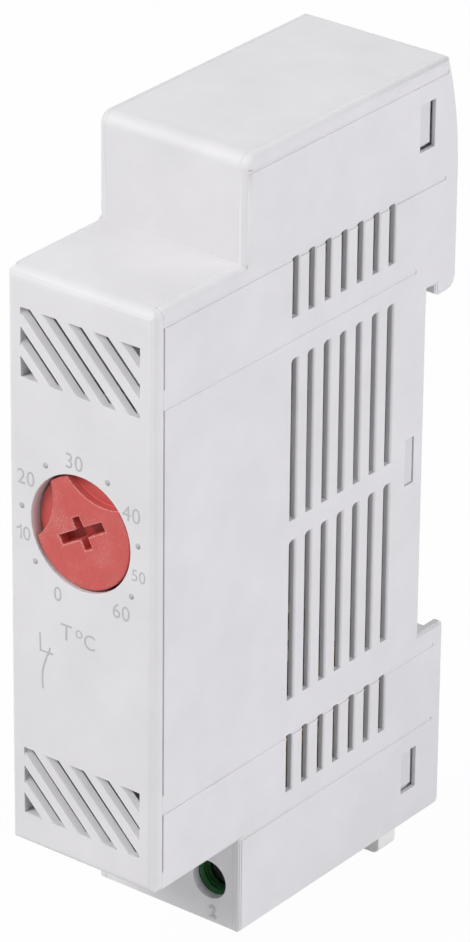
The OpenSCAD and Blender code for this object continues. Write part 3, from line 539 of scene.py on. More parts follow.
@dataclass(frozen=True)
class TurnedMetal:
    """Metal with fine lines from rolling, drawing or turning.

    Attributes:
        name: Name of the material.
        colour: Main colour in linear light.
        roughness: Mean roughness.
        lines: How many times finer the noise is along each axis.
        stain: How much darker the stained patches are.
        relief_mm: Height of the lines.
        fine: Lines to the metre.
        patches: Stained patches to the metre.
    """

    name: str
    colour: Colour
    roughness: float = 0.32
    lines: tuple[float, float, float] = (1.0, 1.0, 12.0)
    stain: float = 0.18
    relief_mm: float = 0.004
    fine: float = 900.0
    patches: float = 380.0

    def make(self) -> bpy.types.Material:
        """Builds the material."""
        sheet = NodeSheet.material(self.name)
        lined = sheet.noise(sheet.places(self.lines), self.fine, 3.0, 0.6)
        patch = sheet.noise(sheet.places(), self.patches, 4.0, 0.6)
        dull = sheet.ramp(patch, ((0.35, 1.0), (0.65, 0.0)))
        colour = sheet.mix(dull * self.stain, self.colour, shade(self.colour, 0.55))
        rough = self.roughness + (lined - 0.5) * 0.16 + dull * 0.12
        return sheet.finish(
            Base_Color=colour, Roughness=rough, Metallic=1.0,
            Normal=sheet.bump(lined, 0.5, self.relief_mm))


@dataclass(frozen=True)
class PadPrint:
    """Thin printed ink, slightly uneven where the pad pressed less, also laid as painted shade on
    raised numbers.

    Attributes:
        name: Name of the material.
        colour: Ink colour in linear light.
        ground: Colour of the plastic that shines through.
        fine: Thin places to the metre.
    """

    name: str
    colour: Colour
    ground: Colour
    fine: float = 2600.0

    def make(self) -> bpy.types.Material:
        """Builds the material."""
        sheet = NodeSheet.material(self.name)
        thin = sheet.noise(sheet.places(), self.fine, 3.0, 0.6)
        worn = sheet.ramp(thin, ((0.45, 0.0), (0.85, 0.45)))
        return sheet.finish(
            Base_Color=sheet.mix(worn, self.colour, self.ground),
            Roughness=0.5 + thin * 0.15, IOR=1.5)


class Finish(Enum):
    """Every finish of the thermostat, by the record's material slot."""

    HOUSING = ("housing", MouldedPlastic("housing_grey", srgb(224, 223, 225)))
    # The frame's finish paints shade on the latches in the side windows.
    FRAME = ("housing", MouldedPlastic("frame_grey_latch_shade", srgb(224, 223, 225), latch=(8.0, 2.0)))
    CLIP = ("clip", MouldedPlastic("clip_white", srgb(244, 244, 241), 0.42, relief_mm=0.006))
    DIAL = ("dial", DialPlastic("dial_red", srgb(200, 84, 80)))
    BLOCK = ("block", MouldedPlastic("block_green", srgb(26, 92, 44), 0.4, mottle=0.08))
    INSULATOR = (
        "insulator", MouldedPlastic("insulator_cream", srgb(226, 218, 196), relief_mm=0.005))
    BRASS = ("brass", TurnedMetal("brass_stamped", srgb(205, 172, 104), 0.3))
    STEEL = ("steel", TurnedMetal("steel_zinc", srgb(172, 174, 178), 0.34))
    DARK_STEEL = ("dark_steel", TurnedMetal("steel_black", srgb(84, 85, 88), 0.45))
    SPRING_STEEL = ("spring_steel", TurnedMetal("spring_wire", srgb(150, 151, 155), 0.3))
    BIMETAL = (
        "bimetal", TurnedMetal("bimetal_rolled", srgb(164, 142, 118), 0.36, (1.0, 10.0, 1.0)))
    SPRING_BRONZE = (
        "spring_bronze", TurnedMetal("bronze_rolled", srgb(190, 136, 90), 0.32, (1.0, 10.0, 1.0)))
    CONTACT = ("contact", TurnedMetal("contact_silver", srgb(216, 216, 218), 0.2, stain=0.3))
    PLATED = ("plated", TurnedMetal("cage_nickel", srgb(192, 191, 186), 0.28))
    MAGNET = ("magnet", TurnedMetal("magnet_ground", srgb(70, 70, 74), 0.5))
    PRINT = ("housing", PadPrint("scale_ink", srgb(185, 185, 187), srgb(212, 212, 214)))
    # Painted shade: the raised terminal numbers are the housing's plastic, and their darker grey
    # stands in for the shade beside their strokes.
    MARK = ("housing", PadPrint("mark_painted_shade", srgb(192, 191, 195), srgb(208, 208, 211)))

    @property
    def slot(self) -> str:
        """The record's material slot."""
        return self.value[0]


class Palette:
    """Makes each material once and hands it out."""

    def __init__(self) -> None:
        """Starts with no material made."""
        self._made: dict[Finish, bpy.types.Material] = {}

    def get(self, finish: Finish) -> bpy.types.Material:
        """The material of a finish, made when it is first asked for."""
        if finish not in self._made:
            self._made[finish] = finish.value[1].make()
        return self._made[finish]


# Meshes

Softness = Callable[[Vector, Vector], float | None]
FLAT_ANGLE = math.radians(30.0)


@dataclass
class EdgeRounder:
    """Rounds the sharp edges of a closed mesh.

    Where the rounded faces would fold, a softer edge falls back to the usual
    rounding, and an edge of the usual rounding stays plain.

    Attributes:
        mesh: The mesh, merged and with its flat stretches dissolved.
        width: Usual rounding, in metres.
        softer: Gives the rounding of an edge by its two ends, or nothing for the usual one.
        tries: How often it looks for folds.
        reach: How near to a fold, in usual roundings, an edge falls back.
        fold: Twice the area above which a turned triangle is a fold, in square metres.
    """

    mesh: bpy.types.Mesh
    width: float
    softer: Softness | None = None
    tries: int = 10
    reach: float = 1.5
    fold: float = 1e-14

    def run(self) -> bpy.types.Mesh:
        """Rounds the edges and hands out a new mesh with even shading."""
        widths = self._widths()
        made = self._round(widths)
        for _ in range(self.tries):
            folds = self._folds(made)
            plain = [key for key in widths if self._near(key, folds)]
            if not plain:
                break
            for key in plain:
                if widths[key] > self.width:
                    widths[key] = self.width
                else:
                    del widths[key]
            bpy.data.meshes.remove(made)
            made = self._round(widths)
        bpy.data.meshes.remove(self.mesh)
        return made

    def _widths(self) -> dict[int, float]:
        """The rounding of each sharp edge by its index."""
        work = bmesh.new()
        work.from_mesh(self.mesh)
        widths = {}
        for edge in work.edges:
            if edge.is_manifold and edge.calc_face_angle() > FLAT_ANGLE:
                own = self.softer(*(vertex.co for vertex in edge.verts)) if self.softer else None
                widths[edge.index] = self.width if own is None else own
        work.free()
        return widths

    def _round(self, widths: dict[int, float]) -> bpy.types.Mesh:
        """Rounds a copy by the rounding of each edge's index."""
        copy = self.mesh.copy()
        most = max(widths.values(), default=self.width)
        layer = copy.attributes.new("bevel_weight_edge", "FLOAT", "EDGE")
        for index, width in widths.items():
            layer.data[index].value = width / most
        draft = placed("draft", copy)
        bevel = draft.modifiers.new("rounding", "BEVEL")
        bevel.width = most
        bevel.segments = 2
        bevel.limit_method = "WEIGHT"
        bevel.use_clamp_overlap = False
        bevel.miter_outer = "MITER_SHARP"
        even = draft.modifiers.new("even_light", "WEIGHTED_NORMAL")
        even.mode = "FACE_AREA"
        even.keep_sharp = True
        return flatten(draft)

    def _folds(self, made: bpy.types.Mesh) -> list[Vector]:
        """Points where faces of a rounded mesh cross themselves."""
        made.calc_loop_triangles()
        faces: dict[int, list[Vector]] = {}
        for triangle in made.loop_triangles:
            a, b, c = (made.vertices[index].co for index in triangle.vertices)
            turned = (b - a).cross(c - a).dot(made.polygons[triangle.polygon_index].normal)
            if turned < -self.fold:
                faces.setdefault(triangle.polygon_index, []).extend((a, b, c))
        folds: list[Vector] = []
        for index, corners in faces.items():
            crossings = self._crossings(made, made.polygons[index])
            folds.extend(crossings or [corner.copy() for corner in corners])
        return folds

    @staticmethod
    def _crossings(made: bpy.types.Mesh, face: bpy.types.MeshPolygon) -> list[Vector]:
        """Corners beside which the outline of a face crosses itself."""
        along = face.normal.orthogonal().normalized()
        across = face.normal.cross(along)
        points = [made.vertices[index].co for index in face.vertices]
        flat = [Vector((along.dot(point), across.dot(point))) for point in points]
        count = len(flat)
        found = []
        for i in range(count):
            for j in range(i + 2, count):
                if (j + 1) % count == i:
                    continue
                first, second = (flat[i], flat[(i + 1) % count]), (flat[j], flat[(j + 1) % count])
                if intersect_line_line_2d(*first, *second):
                    found.extend((points[i].copy(), points[j].copy()))
        return found

    def _near(self, index: int, folds: Sequence[Vector]) -> bool:
        """Whether an edge of the plain mesh is close to one of the folds."""
        a, b = (self.mesh.vertices[vertex].co for vertex in self.mesh.edges[index].vertices)
        for fold in folds:
            foot, share = intersect_point_line(fold, a, b)
            nearest = foot if 0 <= share <= 1 else (a if share < 0 else b)
            if (nearest - fold).length < self.reach * self.width:
                return True
        return False


@dataclass
class Workshop:
    """Makes finished pieces and hands them to the frame.

    Attributes:
        palette: Where the materials come from.
        coil: Rule that makes springs and threads.
        weld_mm: Distance within which loose corners are joined.
        level_deg: Angle up to which a stretch counts as flat.
    """

    palette: Palette
    coil: "CoilRule"
    weld_mm: float = 0.0005
    level_deg: float = 0.2

    def add(self, name: str, mesh: bpy.types.Mesh, finish: Finish, body: str,
            replaces: Sequence[str] = ()) -> bpy.types.Object:
        """Adds a mesh as a finished piece that rides on a body.

        Args:
            name: Name of the piece.
            mesh: Its mesh, in the row frame.
            finish: Its finish.
            body: Body that it rides on.
            replaces: Solids that it stands for.

        Returns:
            The piece.
        """
        mesh.name = name
        piece = placed(name, mesh)
        mesh.materials.clear()
        mesh.materials.append(self.palette.get(finish))
        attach(piece, body)
        if replaces:
            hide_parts(*replaces)
        LOG.info("%s: %d faces on %s", name, len(mesh.polygons), body)
        return piece

    def dressed(self, node: str, finish: Finish, rounding: Rounding = Rounding.STAMPED,
                softer: Softness | None = None) -> bpy.types.Object:
        """Copies a solid, rounds its sharp edges and lets the copy stand for it.

        Args:
            node: Name of the solid.
            finish: Finish of the copy.
            rounding: How far its edges are rounded.
            softer: Gives the rounding of an edge by its two ends, or nothing for the usual one.

        Returns:
            The piece.
        """
        source = frame["nodes"][node]
        mesh = source.data.copy()
        self._merge(mesh)
        made = EdgeRounder(mesh, rounding.value * MM, softer=softer).run()
        return self.add(node + "_dressed", made, finish, source["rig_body"], (node,))

    def wind(self, name: str, finish: Finish, body: str, values: dict[str, Any],
             replaces: Sequence[str] = ()) -> bpy.types.Object:
        """Adds a coil as a finished piece.

        Args:
            name: Name of the piece.
            finish: Its finish.
            body: Body that it rides on.
            values: Sizes and place of the coil by input name.
            replaces: Solids that it stands for.

        Returns:
            The piece.
        """
        mesh = self.coil.mesh({**values, "Material": self.palette.get(finish)})
        return self.add(name, mesh, finish, body, replaces)

    def _merge(self, mesh: bpy.types.Mesh) -> None:
        """Joins the loose triangles of a solid's mesh and dissolves its flat stretches."""
        work = bmesh.new()
        work.from_mesh(mesh)
        bmesh.ops.remove_doubles(work, verts=work.verts, dist=self.weld_mm * MM)
        bmesh.ops.dissolve_limit(
            work, angle_limit=math.radians(self.level_deg), verts=work.verts, edges=work.edges,
            use_dissolve_boundaries=False)
        for face in work.faces:
            face.smooth = True
        work.to_mesh(mesh)
        work.free()
        mesh.set_sharp_from_angle(angle=FLAT_ANGLE)


def placed(name: str, data: bpy.types.ID) -> bpy.types.Object:
    """Makes an object of some data and links it to the scene."""
    made = bpy.data.objects.new(name, data)
    bpy.context.scene.collection.objects.link(made)
    return made


def settled(work: bmesh.types.BMesh, name: str) -> bpy.types.Mesh:
    """Turns a working mesh into a plain one and frees it."""
    mesh = bpy.data.meshes.new(name)
    work.to_mesh(mesh)
    work.free()
    return mesh


def flatten(draft: bpy.types.Object) -> bpy.types.Mesh:
    """Turns an object with modifiers into a plain mesh and removes the object."""
    graph = bpy.context.evaluated_depsgraph_get()
    graph.update()
    made = bpy.data.meshes.new_from_object(draft.evaluated_get(graph), depsgraph=graph)
    old = draft.data
    bpy.data.objects.remove(draft)
    if isinstance(old, bpy.types.Mesh) and not old.users:
        bpy.data.meshes.remove(old)
    return made


class GeometrySheet(Sheet):
    """A Geometry Nodes tree with named inputs, ending in one material."""

    def __init__(self, name: str, inputs: dict[str, tuple[str, Any]]) -> None:
        """Makes the tree with its inputs.

        Args:
            name: Name of the tree.
            inputs: Kind of socket and default by the input's name.
        """
        super().__init__(bpy.data.node_groups.new(name, "GeometryNodeTree"))
        self.sockets: dict[str, str] = {}
        for key, (kind, value) in {"Geometry": ("Geometry", None), **inputs}.items():
            socket = self.tree.interface.new_socket(
                key, in_out="INPUT", socket_type="NodeSocket" + kind)
            if value is not None:
                socket.default_value = value
            self.sockets[key] = socket.identifier
        self.tree.interface.new_socket(
            "Geometry", in_out="OUTPUT", socket_type="NodeSocketGeometry")
        self.entry = self.tree.nodes.new("NodeGroupInput")
        self.exit = self.tree.nodes.new("NodeGroupOutput")

    def given(self, name: str) -> bpy.types.NodeSocket:
        """The output socket of one of the tree's inputs."""
        return self.entry.outputs[name]

    def close(self, geometry: bpy.types.NodeSocket) -> None:
        """Ends the tree in smooth, realized geometry with its material."""
        real = self.node("GeometryNodeRealizeInstances", inputs={"Geometry": geometry})
        smooth = self.node("GeometryNodeSetShadeSmooth", inputs={"Geometry": real.outputs[0]})
        painted = self.node("GeometryNodeSetMaterial", inputs={
            "Geometry": smooth.outputs[0], "Material": self.given("Material")})
        self.tree.links.new(painted.outputs[0], self.exit.inputs[0])

    def mesh(self, values: dict[str, Any], points: Sequence[Vector] = ()) -> bpy.types.Mesh:
        """Runs the tree with given values.

        Args:
            values: Values by input name.
            points: Points of the mesh that the tree starts from.

        Returns:
            The resulting mesh.
        """
        start = bpy.data.meshes.new("draft")
        start.from_pydata([tuple(point) for point in points], [], [])
        draft = placed("draft", start)
        modifier = draft.modifiers.new("rule", "NODES")
        modifier.node_group = self.tree
        for key, value in values.items():
            modifier[self.sockets[key]] = value
        return flatten(draft)


class CoilRule(GeometrySheet):
    """Round wire along a rising coil, for the spring and for the screw threads."""

    def __init__(self) -> None:
        """Builds the tree."""
        super().__init__("coil_rule", {
            "Radius": ("Float", 0.001), "Length": ("Float", 0.01), "Turns": ("Float", 8.0),
            "Wire": ("Float", 0.0002), "Turn": ("Vector", None), "Place": ("Vector", None),
            "Material": ("Material", None)})
        line = self.node("GeometryNodeCurveSpiral", inputs={
            "Resolution": 24, "Rotations": self.given("Turns"), "Height": self.given("Length"),
            "Start Radius": self.given("Radius"), "End Radius": self.given("Radius")})
        ring = self.node("GeometryNodeCurvePrimitiveCircle", inputs={
            "Resolution": 10, "Radius": self.given("Wire")})
        wire = self.node("GeometryNodeCurveToMesh", inputs={
            "Curve": line.outputs[0], "Profile Curve": ring.outputs[0], "Fill Caps": True})
        set_up = self.node("GeometryNodeTransform", inputs={
            "Geometry": wire.outputs[0], "Translation": self.given("Place"),
            "Rotation": self.given("Turn")})
        self.close(set_up.outputs[0])


class DotRule(GeometrySheet):
    """Flat round dots on the points of a mesh."""

    def __init__(self) -> None:
        """Builds the tree."""
        super().__init__("dot_rule", {
            "Dot radius": ("Float", 0.0003), "Thickness": ("Float", 0.00002),
            "Place": ("Vector", None), "Material": ("Material", None)})
        dot = self.node("GeometryNodeMeshCylinder", inputs={
            "Vertices": 20, "Radius": self.given("Dot radius"), "Depth": self.given("Thickness")})
        points = self.node("GeometryNodeMeshToPoints", {"mode": "VERTICES"}, {
            "Mesh": self.given("Geometry")})
        spread = self.node("GeometryNodeInstanceOnPoints", inputs={
            "Points": points.outputs[0], "Instance": dot.outputs[0]})
        set_up = self.node("GeometryNodeTransform", inputs={
            "Geometry": spread.outputs[0], "Translation": self.given("Place"),
            "Rotation": (math.pi / 2, 0.0, 0.0)})
        self.close(set_up.outputs[0])


def join(meshes: Iterable[bpy.types.Mesh]) -> bpy.types.Mesh:
    """Joins meshes into one."""
    work = bmesh.new()
    for mesh in meshes:
        work.from_mesh(mesh)
    return settled(work, "joined")


# Printing and embossing

@dataclass
class Lettering:
    """Makes raised figures that stand on a face which looks to the front.

    Attributes:
        proud_mm: How far a figure stands proud of its face.
        sunk_mm: How far it reaches into the face.
        bold: How much wider its strokes are, against a height of one.
        one_path: Points of a figure one from its upright, against a height of one.
        sharpest: Least share of the width that is kept at a sharp turn.
        squeeze: Width of a figure against its usual width.
        space: Distance between figures against the usual distance.
    """

    proud_mm: float
    sunk_mm: float = 0.02
    bold: float = 0.0
    one_path: tuple[tuple[float, float], ...] = (
        (-0.3, 0.22), (-0.12, 0.31), (0.0, 0.47), (0.0, -0.44))
    sharpest: float = 0.6
    squeeze: float = 0.95
    space: float = 1.05

    def figure(self, text: str, x: float, face: float, z: float, height: float) -> bpy.types.Mesh:
        """Makes one word.

        Args:
            text: What it says.
            x: Middle of the word, to the right of the centre plane.
            face: Depth of the face behind the front.
            z: Middle of the word above the underside.
            height: Height of a figure.

        Returns:
            The word as a mesh in the row frame.
        """
        curve = bpy.data.curves.new(text, "FONT")
        curve.body = text
        curve.align_x = "CENTER"
        curve.size = MM
        curve.extrude = (self.proud_mm + self.sunk_mm) / 2 * MM
        curve.offset = self.bold * MM
        curve.resolution_u = 6
        curve.space_character = self.space
        mesh = flatten(placed(text, curve))
        bpy.data.curves.remove(curve)
        across = [vertex.co.x for vertex in mesh.vertices]
        tops = [vertex.co.y for vertex in mesh.vertices]
        middle = Vector(((max(across) + min(across)) / 2, (max(tops) + min(tops)) / 2, 0.0))
        grown = height * MM / (max(tops) - min(tops))
        centre = DATUM.point(x, face - (self.proud_mm - self.sunk_mm) / 2, z)
        mesh.transform(
            Matrix.Translation(centre) @ Matrix.Rotation(math.pi / 2, 4, "X")
            @ Matrix.Diagonal((grown * self.squeeze, grown, 1.0, 1.0))
            @ Matrix.Translation(-middle))
        return mesh

    def one(self, x: float, face: float, z: float, height: float, width: float) -> bpy.types.Mesh:
        """Makes a figure one with its flag.

        Args:
            x: Its upright, to the right of the centre plane.
            face: Depth of the face behind the front.
            z: Middle of the figure above the underside.
            height: Height of the figure.
            width: Width of its strokes.

        Returns:
            The figure as a mesh in the row frame.
        """
        return self.stroke(
            [(x + across * height, z + up * height) for across, up in self.one_path], face, width)

    def stroke(self, points: Sequence[tuple[float, float]], face: float, width: float,
               lift: float = 0.0) -> bpy.types.Mesh:
        """Makes a line of even width through points on a face.

        Args:
            points: Pairs of the distance to the right and the height.
            face: Depth of the face behind the front.
            width: Width of the line.
            lift: How much prouder it stands than a figure.

        Returns:
            The line as a mesh in the row frame.
        """
        path = [Vector(pair) for pair in points]
        runs = [(last - first).normalized() for first, last in zip(path, path[1:])]
        path[0] -= runs[0] * width / 2
        path[-1] += runs[-1] * width / 2
        top, foot = face - self.proud_mm - lift, face + self.sunk_mm
        work = bmesh.new()
        rings = []
        for place, before, after in zip(path, [runs[0], *runs], [*runs, runs[-1]]):
            way = (before + after).normalized()
            side = Vector((-way.y, way.x)) * width / 2 / max(way.dot(before), self.sharpest)
            left, right = place - side, place + side
            rings.append([
                work.verts.new(DATUM.point(spot.x, depth, spot.y))
                for spot, depth in ((left, top), (right, top), (right, foot), (left, foot))])
        for first, last in zip(rings, rings[1:]):
            for k in range(len(first)):
                n = (k + 1) % len(first)
                work.faces.new((first[k], first[n], last[n], last[k]))
        work.faces.new(rings[0])
        work.faces.new(rings[-1])
        bmesh.ops.recalc_face_normals(work, faces=work.faces)
        return settled(work, "stroke")


@dataclass
class Housing:
    """Frame moulding, both side covers and what is printed and embossed on them.

    Attributes:
        shop: Workshop that makes the pieces.
        figures: Printed figures with their middles on the front face and their heights.
        ten: Upright, middle and height of the one of the ten.
        dots: Middles of the dots of the scale on the front face.
        dot_r: Radius of a dot.
        contact_sign: Strokes of the contact symbol.
        ink_w: Width of a printed stroke.
        ink_step: How much prouder each next stroke of the symbol stands.
        well_face: Depth of the lower front wall.
        mark_x: Distance of a terminal number from the middle.
        mark_z: Height of the right terminal number.
        mark_left_z: Height of the left terminal number.
        mark_h: Size of a terminal number.
        mark_w: Width of a stroke of a terminal number.
        rims: Heights of the lower rims of the grilles.
        grille_h: Height of a grille.
        bar_edge: Where the upper edge of a grille's bar meets such a rim.
        bar_pitch: Distance between two bars along the rim.
        bar_soft: Rounding of the bars' upper edges.
        half_w: Half the width over both covers.
        slot_y: Rear edge of the first slot.
        slot_pitch: Distance between two slots.
        slot_count: Number of slots in a row.
        slot_soft: Rounding of the rear edge of a slot.
        line_soft: Rounding of the edges of a panel line.
        line_short: Length from which an edge along the depth belongs to a panel line.
        slack: How far a corner may be off its place.
        ink: How the scale is printed.
        raised: How the terminal numbers stand out.
        dot_t: Thickness of a dot.
        dot_y: Depth of the middle of a dot.
    """

    shop: Workshop
    figures: tuple[tuple[str, float, float, float], ...] = (
        ("0", -2.77, 38.99, 1.5), ("0", -6.49, 44.14, 1.46), ("20", -6.52, 49.99, 1.56),
        ("30", -0.7, 53.39, 1.58), ("40", 6.05, 50.17, 1.58), ("50", 6.93, 44.01, 1.24),
        ("60", 4.86, 39.61, 1.56), ("T", -1.75, 35.24, 1.66), ("o", -0.22, 35.55, 0.86),
        ("C", 1.06, 35.09, 1.6))
    ten: tuple[float, float, float] = (-7.17, 44.14, 1.46)
    dots: tuple[tuple[float, float], ...] = (
        (-5.46, 41.59), (-7.04, 46.96), (-4.14, 52.0), (3.26, 52.55), (6.86, 47.16), (6.08, 41.68))
    dot_r: float = 0.3
    contact_sign: tuple[tuple[tuple[float, float], ...], ...] = (
        ((-4.97, 34.1), (-4.92, 32.3), (-3.45, 32.33)), ((-3.76, 32.85), (-3.96, 32.16)),
        ((-4.09, 32.05), (-4.41, 31.14), (-4.66, 30.24), (-4.72, 29.47), (-4.66, 28.37)))
    ink_w: float = 0.19
    ink_step: float = 0.003
    well_face: float = 13.4
    mark_x: float = 5.45
    mark_z: float = 1.2
    mark_left_z: float = 1.5
    mark_h: float = 1.38
    mark_w: float = 0.22
    rims: tuple[float, float] = (13.92, 60.27)
    grille_h: float = 7.1
    bar_edge: float = -3.896
    bar_pitch: float = 3.083
    bar_soft: float = 0.3
    half_w: float = 8.75
    slot_y: float = 21.5
    slot_pitch: float = 2.5
    slot_count: int = 7
    slot_soft: float = 0.22
    line_soft: float = 0.09
    line_short: float = 3.0
    slack: float = 0.02
    ink: Lettering = field(default_factory=lambda: Lettering(proud_mm=0.012))
    raised: Lettering = field(default_factory=lambda: Lettering(0.1, sunk_mm=0.1, bold=0.03))
    dot_t: float = 0.03
    dot_y: float = 0.003

    def build(self) -> None:
        """Builds the housing."""
        self.shop.dressed("housing_frame", Finish.FRAME, Rounding.FINE, self._frame_edge)
        for side in ("left", "right"):
            self.shop.dressed(f"side_cover_{side}", Finish.HOUSING, Rounding.FINE, self._cover_edge)
        self._print_scale()
        self._raise_marks()

    @staticmethod
    def _ends(*corners: Vector) -> tuple[Vector, ...]:
        """The ends of an edge in millimetres from the datum planes."""
        origin = DATUM.point(0.0, 0.0, 0.0)
        return tuple((corner - origin) / MM for corner in corners)

    def _frame_edge(self, first: Vector, second: Vector) -> float | None:
        """Rounding of the upper edges of the grilles' bars, by the ends of an edge."""
        a, b = self._ends(first, second)
        if max(abs(a.y), abs(b.y), abs(a.x + a.z - b.x - b.z)) > self.slack:
            return None
        for rim in self.rims:
            step = (a.x + a.z - rim - self.bar_edge) / self.bar_pitch
            inside = rim - self.slack < min(a.z, b.z) < rim + self.grille_h
            if inside and abs(step - round(step)) < self.slack:
                return self.bar_soft * MM
        return None

    def _cover_edge(self, first: Vector, second: Vector) -> float | None:
        """Rounding of the slots' rear edges and of the panel lines, by the ends of an edge."""
        a, b = self._ends(first, second)
        out = min(abs(a.x), abs(b.x)) >= self.half_w - self.slack
        if not out or abs(a.x - b.x) > self.slack:
            return None
        if abs(a.z - b.z) < self.slack and abs(a.y - b.y) > self.line_short:
            return self.line_soft * MM
        if abs(a.y - b.y) < self.slack:
            step = (a.y - self.slot_y) / self.slot_pitch
            if -self.slack < step < self.slot_count and abs(step - round(step)) < self.slack:
                return self.slot_soft * MM
        return None

    def _print_scale(self) -> None:
        """Prints the numbers, the dots, the unit and the contact symbol."""
        x, z, height = self.ten
        parts = [self.ink.figure(text, x, 0.0, z, size) for text, x, z, size in self.figures]
        parts.append(self.ink.one(x, 0.0, z, height, self.ink_w))
        parts.extend(
            self.ink.stroke(points, 0.0, self.ink_w, k * self.ink_step)
            for k, points in enumerate(self.contact_sign))
        self.shop.add("scale_print", join(parts), Finish.PRINT, "housing")
        dots = DotRule().mesh({
            "Dot radius": self.dot_r * MM, "Thickness": self.dot_t * MM,
            "Place": DATUM.point(0.0, self.dot_y, 0.0),
            "Material": self.shop.palette.get(Finish.PRINT)},
            [Vector((x * MM, z * MM, 0.0)) for x, z in self.dots])
        self.shop.add("scale_dots", dots, Finish.PRINT, "housing")

    def _raise_marks(self) -> None:
        """Raises the terminal numbers under the screw wells, in a darker grey that is painted
        shade.
        """
        marks = [
            self.raised.one(
                -self.mark_x, self.well_face, self.mark_left_z, self.mark_h, self.mark_w),
            self.raised.figure("2", self.mark_x, self.well_face, self.mark_z, self.mark_h)]
        self.shop.add("terminal_numbers", join(marks), Finish.MARK, "housing")


@dataclass(frozen=True)
class Thread:
    """Ridges of a screw thread that lies along the depth.

    Attributes:
        start: Depth where it begins.
        length: Its length.
        radius: Its outer radius.
        pitch: Distance between two ridges.
        ridge: Radius of a ridge.
        sunk: How far the middle of a ridge lies under the outer radius.
    """

    start: float
    length: float
    radius: float
    pitch: float = 0.5
    ridge: float = 0.06
    sunk: float = 0.03

    def values(self, x: float, z: float) -> dict[str, Any]:
        """The coil's inputs for a screw at a distance to the right and a height."""
        return {
            "Radius": (self.radius - self.sunk) * MM, "Length": self.length * MM,
            "Turns": self.length / self.pitch, "Wire": self.ridge * MM,
            "Turn": (-math.pi / 2, 0.0, 0.0), "Place": DATUM.point(x, self.start, z)}


@dataclass
class SettingDial:
    """Knob with its spindle, ring, bushing, nut and washer.

    Attributes:
        shop: Workshop that makes the pieces.
        dial_z: Height of the dial's centre.
        thread: Thread of the spindle.
        parts: Finish and rounding of each solid.
    """

    shop: Workshop
    dial_z: float = 46.15
    thread: Thread = Thread(start=9.9, length=4.2, radius=1.48)
    parts: dict[str, tuple[Finish, Rounding]] = field(default_factory=lambda: {
        "dial_knob": (Finish.DIAL, Rounding.MOULDED),
        "dial_spindle": (Finish.STEEL, Rounding.TURNED),
        "retaining_ring": (Finish.DARK_STEEL, Rounding.TURNED),
        "spindle_bushing": (Finish.BRASS, Rounding.TURNED),
        "bushing_nut": (Finish.BRASS, Rounding.STAMPED),
        "friction_washer": (Finish.STEEL, Rounding.TURNED)})

    def build(self) -> None:
        """Builds the dial."""
        for node, (finish, rounding) in self.parts.items():
            self.shop.dressed(node, finish, rounding)
        self.shop.wind(
            "spindle_thread", Finish.STEEL, "dial", self.thread.values(0.0, self.dial_z))


@dataclass
class Terminals:
    """Green block, screws, cages and the two bars.

    Attributes:
        shop: Workshop that makes the pieces.
        side_x: Distance of a screw from the middle.
        screw_z: Height of a screw.
        thread: Thread of a screw.
    """

    shop: Workshop
    side_x: float = 4.96
    screw_z: float = 4.64
    thread: Thread = Thread(start=17.3, length=5.6, radius=1.44)

    def build(self) -> None:
        """Builds the terminals."""
        self.shop.dressed("terminal_block", Finish.BLOCK, Rounding.FINE)
        self.shop.dressed("load_bar", Finish.BRASS)
        self.shop.dressed("line_bar", Finish.BRASS)
        for name, x in (("left", -self.side_x), ("right", self.side_x)):
            self.shop.dressed(f"terminal_screw_{name}", Finish.DARK_STEEL)
            self.shop.dressed(f"clamp_cage_{name}", Finish.PLATED)
            self.shop.wind(
                f"screw_thread_{name}", Finish.DARK_STEEL, f"screw_{name}",
                self.thread.values(x, self.screw_z))


@dataclass
class RailFixing:
    """Sliding clip and its spring.

    Attributes:
        shop: Workshop that makes the pieces.
        curls: Number of curls in the spring.
        wire: Thickness of its wire.
    """

    shop: Workshop
    curls: float = 8.0
    wire: float = 0.3

    def build(self) -> None:
        """Builds the clip and the spring."""
        self.shop.dressed("rail_clip", Finish.CLIP, Rounding.MOULDED)
        low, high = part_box("clip_spring")
        centre = (low + high) / 2
        half_wire = self.wire / 2 * MM
        length = high.z - low.z
        spring = self.shop.wind(
            "clip_spring_wire", Finish.SPRING_STEEL, "housing", {
                "Radius": (high.x - low.x) / 2 - half_wire, "Length": length - 2 * half_wire,
                "Turns": self.curls, "Wire": half_wire,
                "Place": (centre.x, centre.y, low.z + half_wire)},
            ("clip_spring",))
        travel = next(j for j in frame["joints"] if j["name"] == "clip_slide")["range_m"][1]
        (length - travel) / length
        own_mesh(spring)


@dataclass
class Mechanism:
    """Bracket, lever, bimetal strip and contacts inside the housing.

    Attributes:
        shop: Workshop that makes the pieces.
        finishes: Finish of each solid.
    """

    shop: Workshop
    finishes: dict[str, Finish] = field(default_factory=lambda: {
        "mechanism_bracket": Finish.STEEL, "bracket_screws": Finish.DARK_STEEL,
        "pressure_nut": Finish.BRASS, "setting_lever": Finish.STEEL,
        "lever_pin": Finish.DARK_STEEL, "bimetal_strip": Finish.BIMETAL,
        "bimetal_rivets": Finish.STEEL, "calibration_screw": Finish.BRASS,
        "bimetal_pusher": Finish.INSULATOR, "contact_arm": Finish.SPRING_BRONZE,
        "moving_contact": Finish.CONTACT, "armature_plate": Finish.DARK_STEEL,
        "fixed_contact": Finish.CONTACT, "snap_magnet": Finish.MAGNET})

    def build(self) -> None:
        """Builds the mechanism."""
        for node, finish in self.finishes.items():
            self.shop.dressed(node, finish, Rounding.TURNED)


# Studio

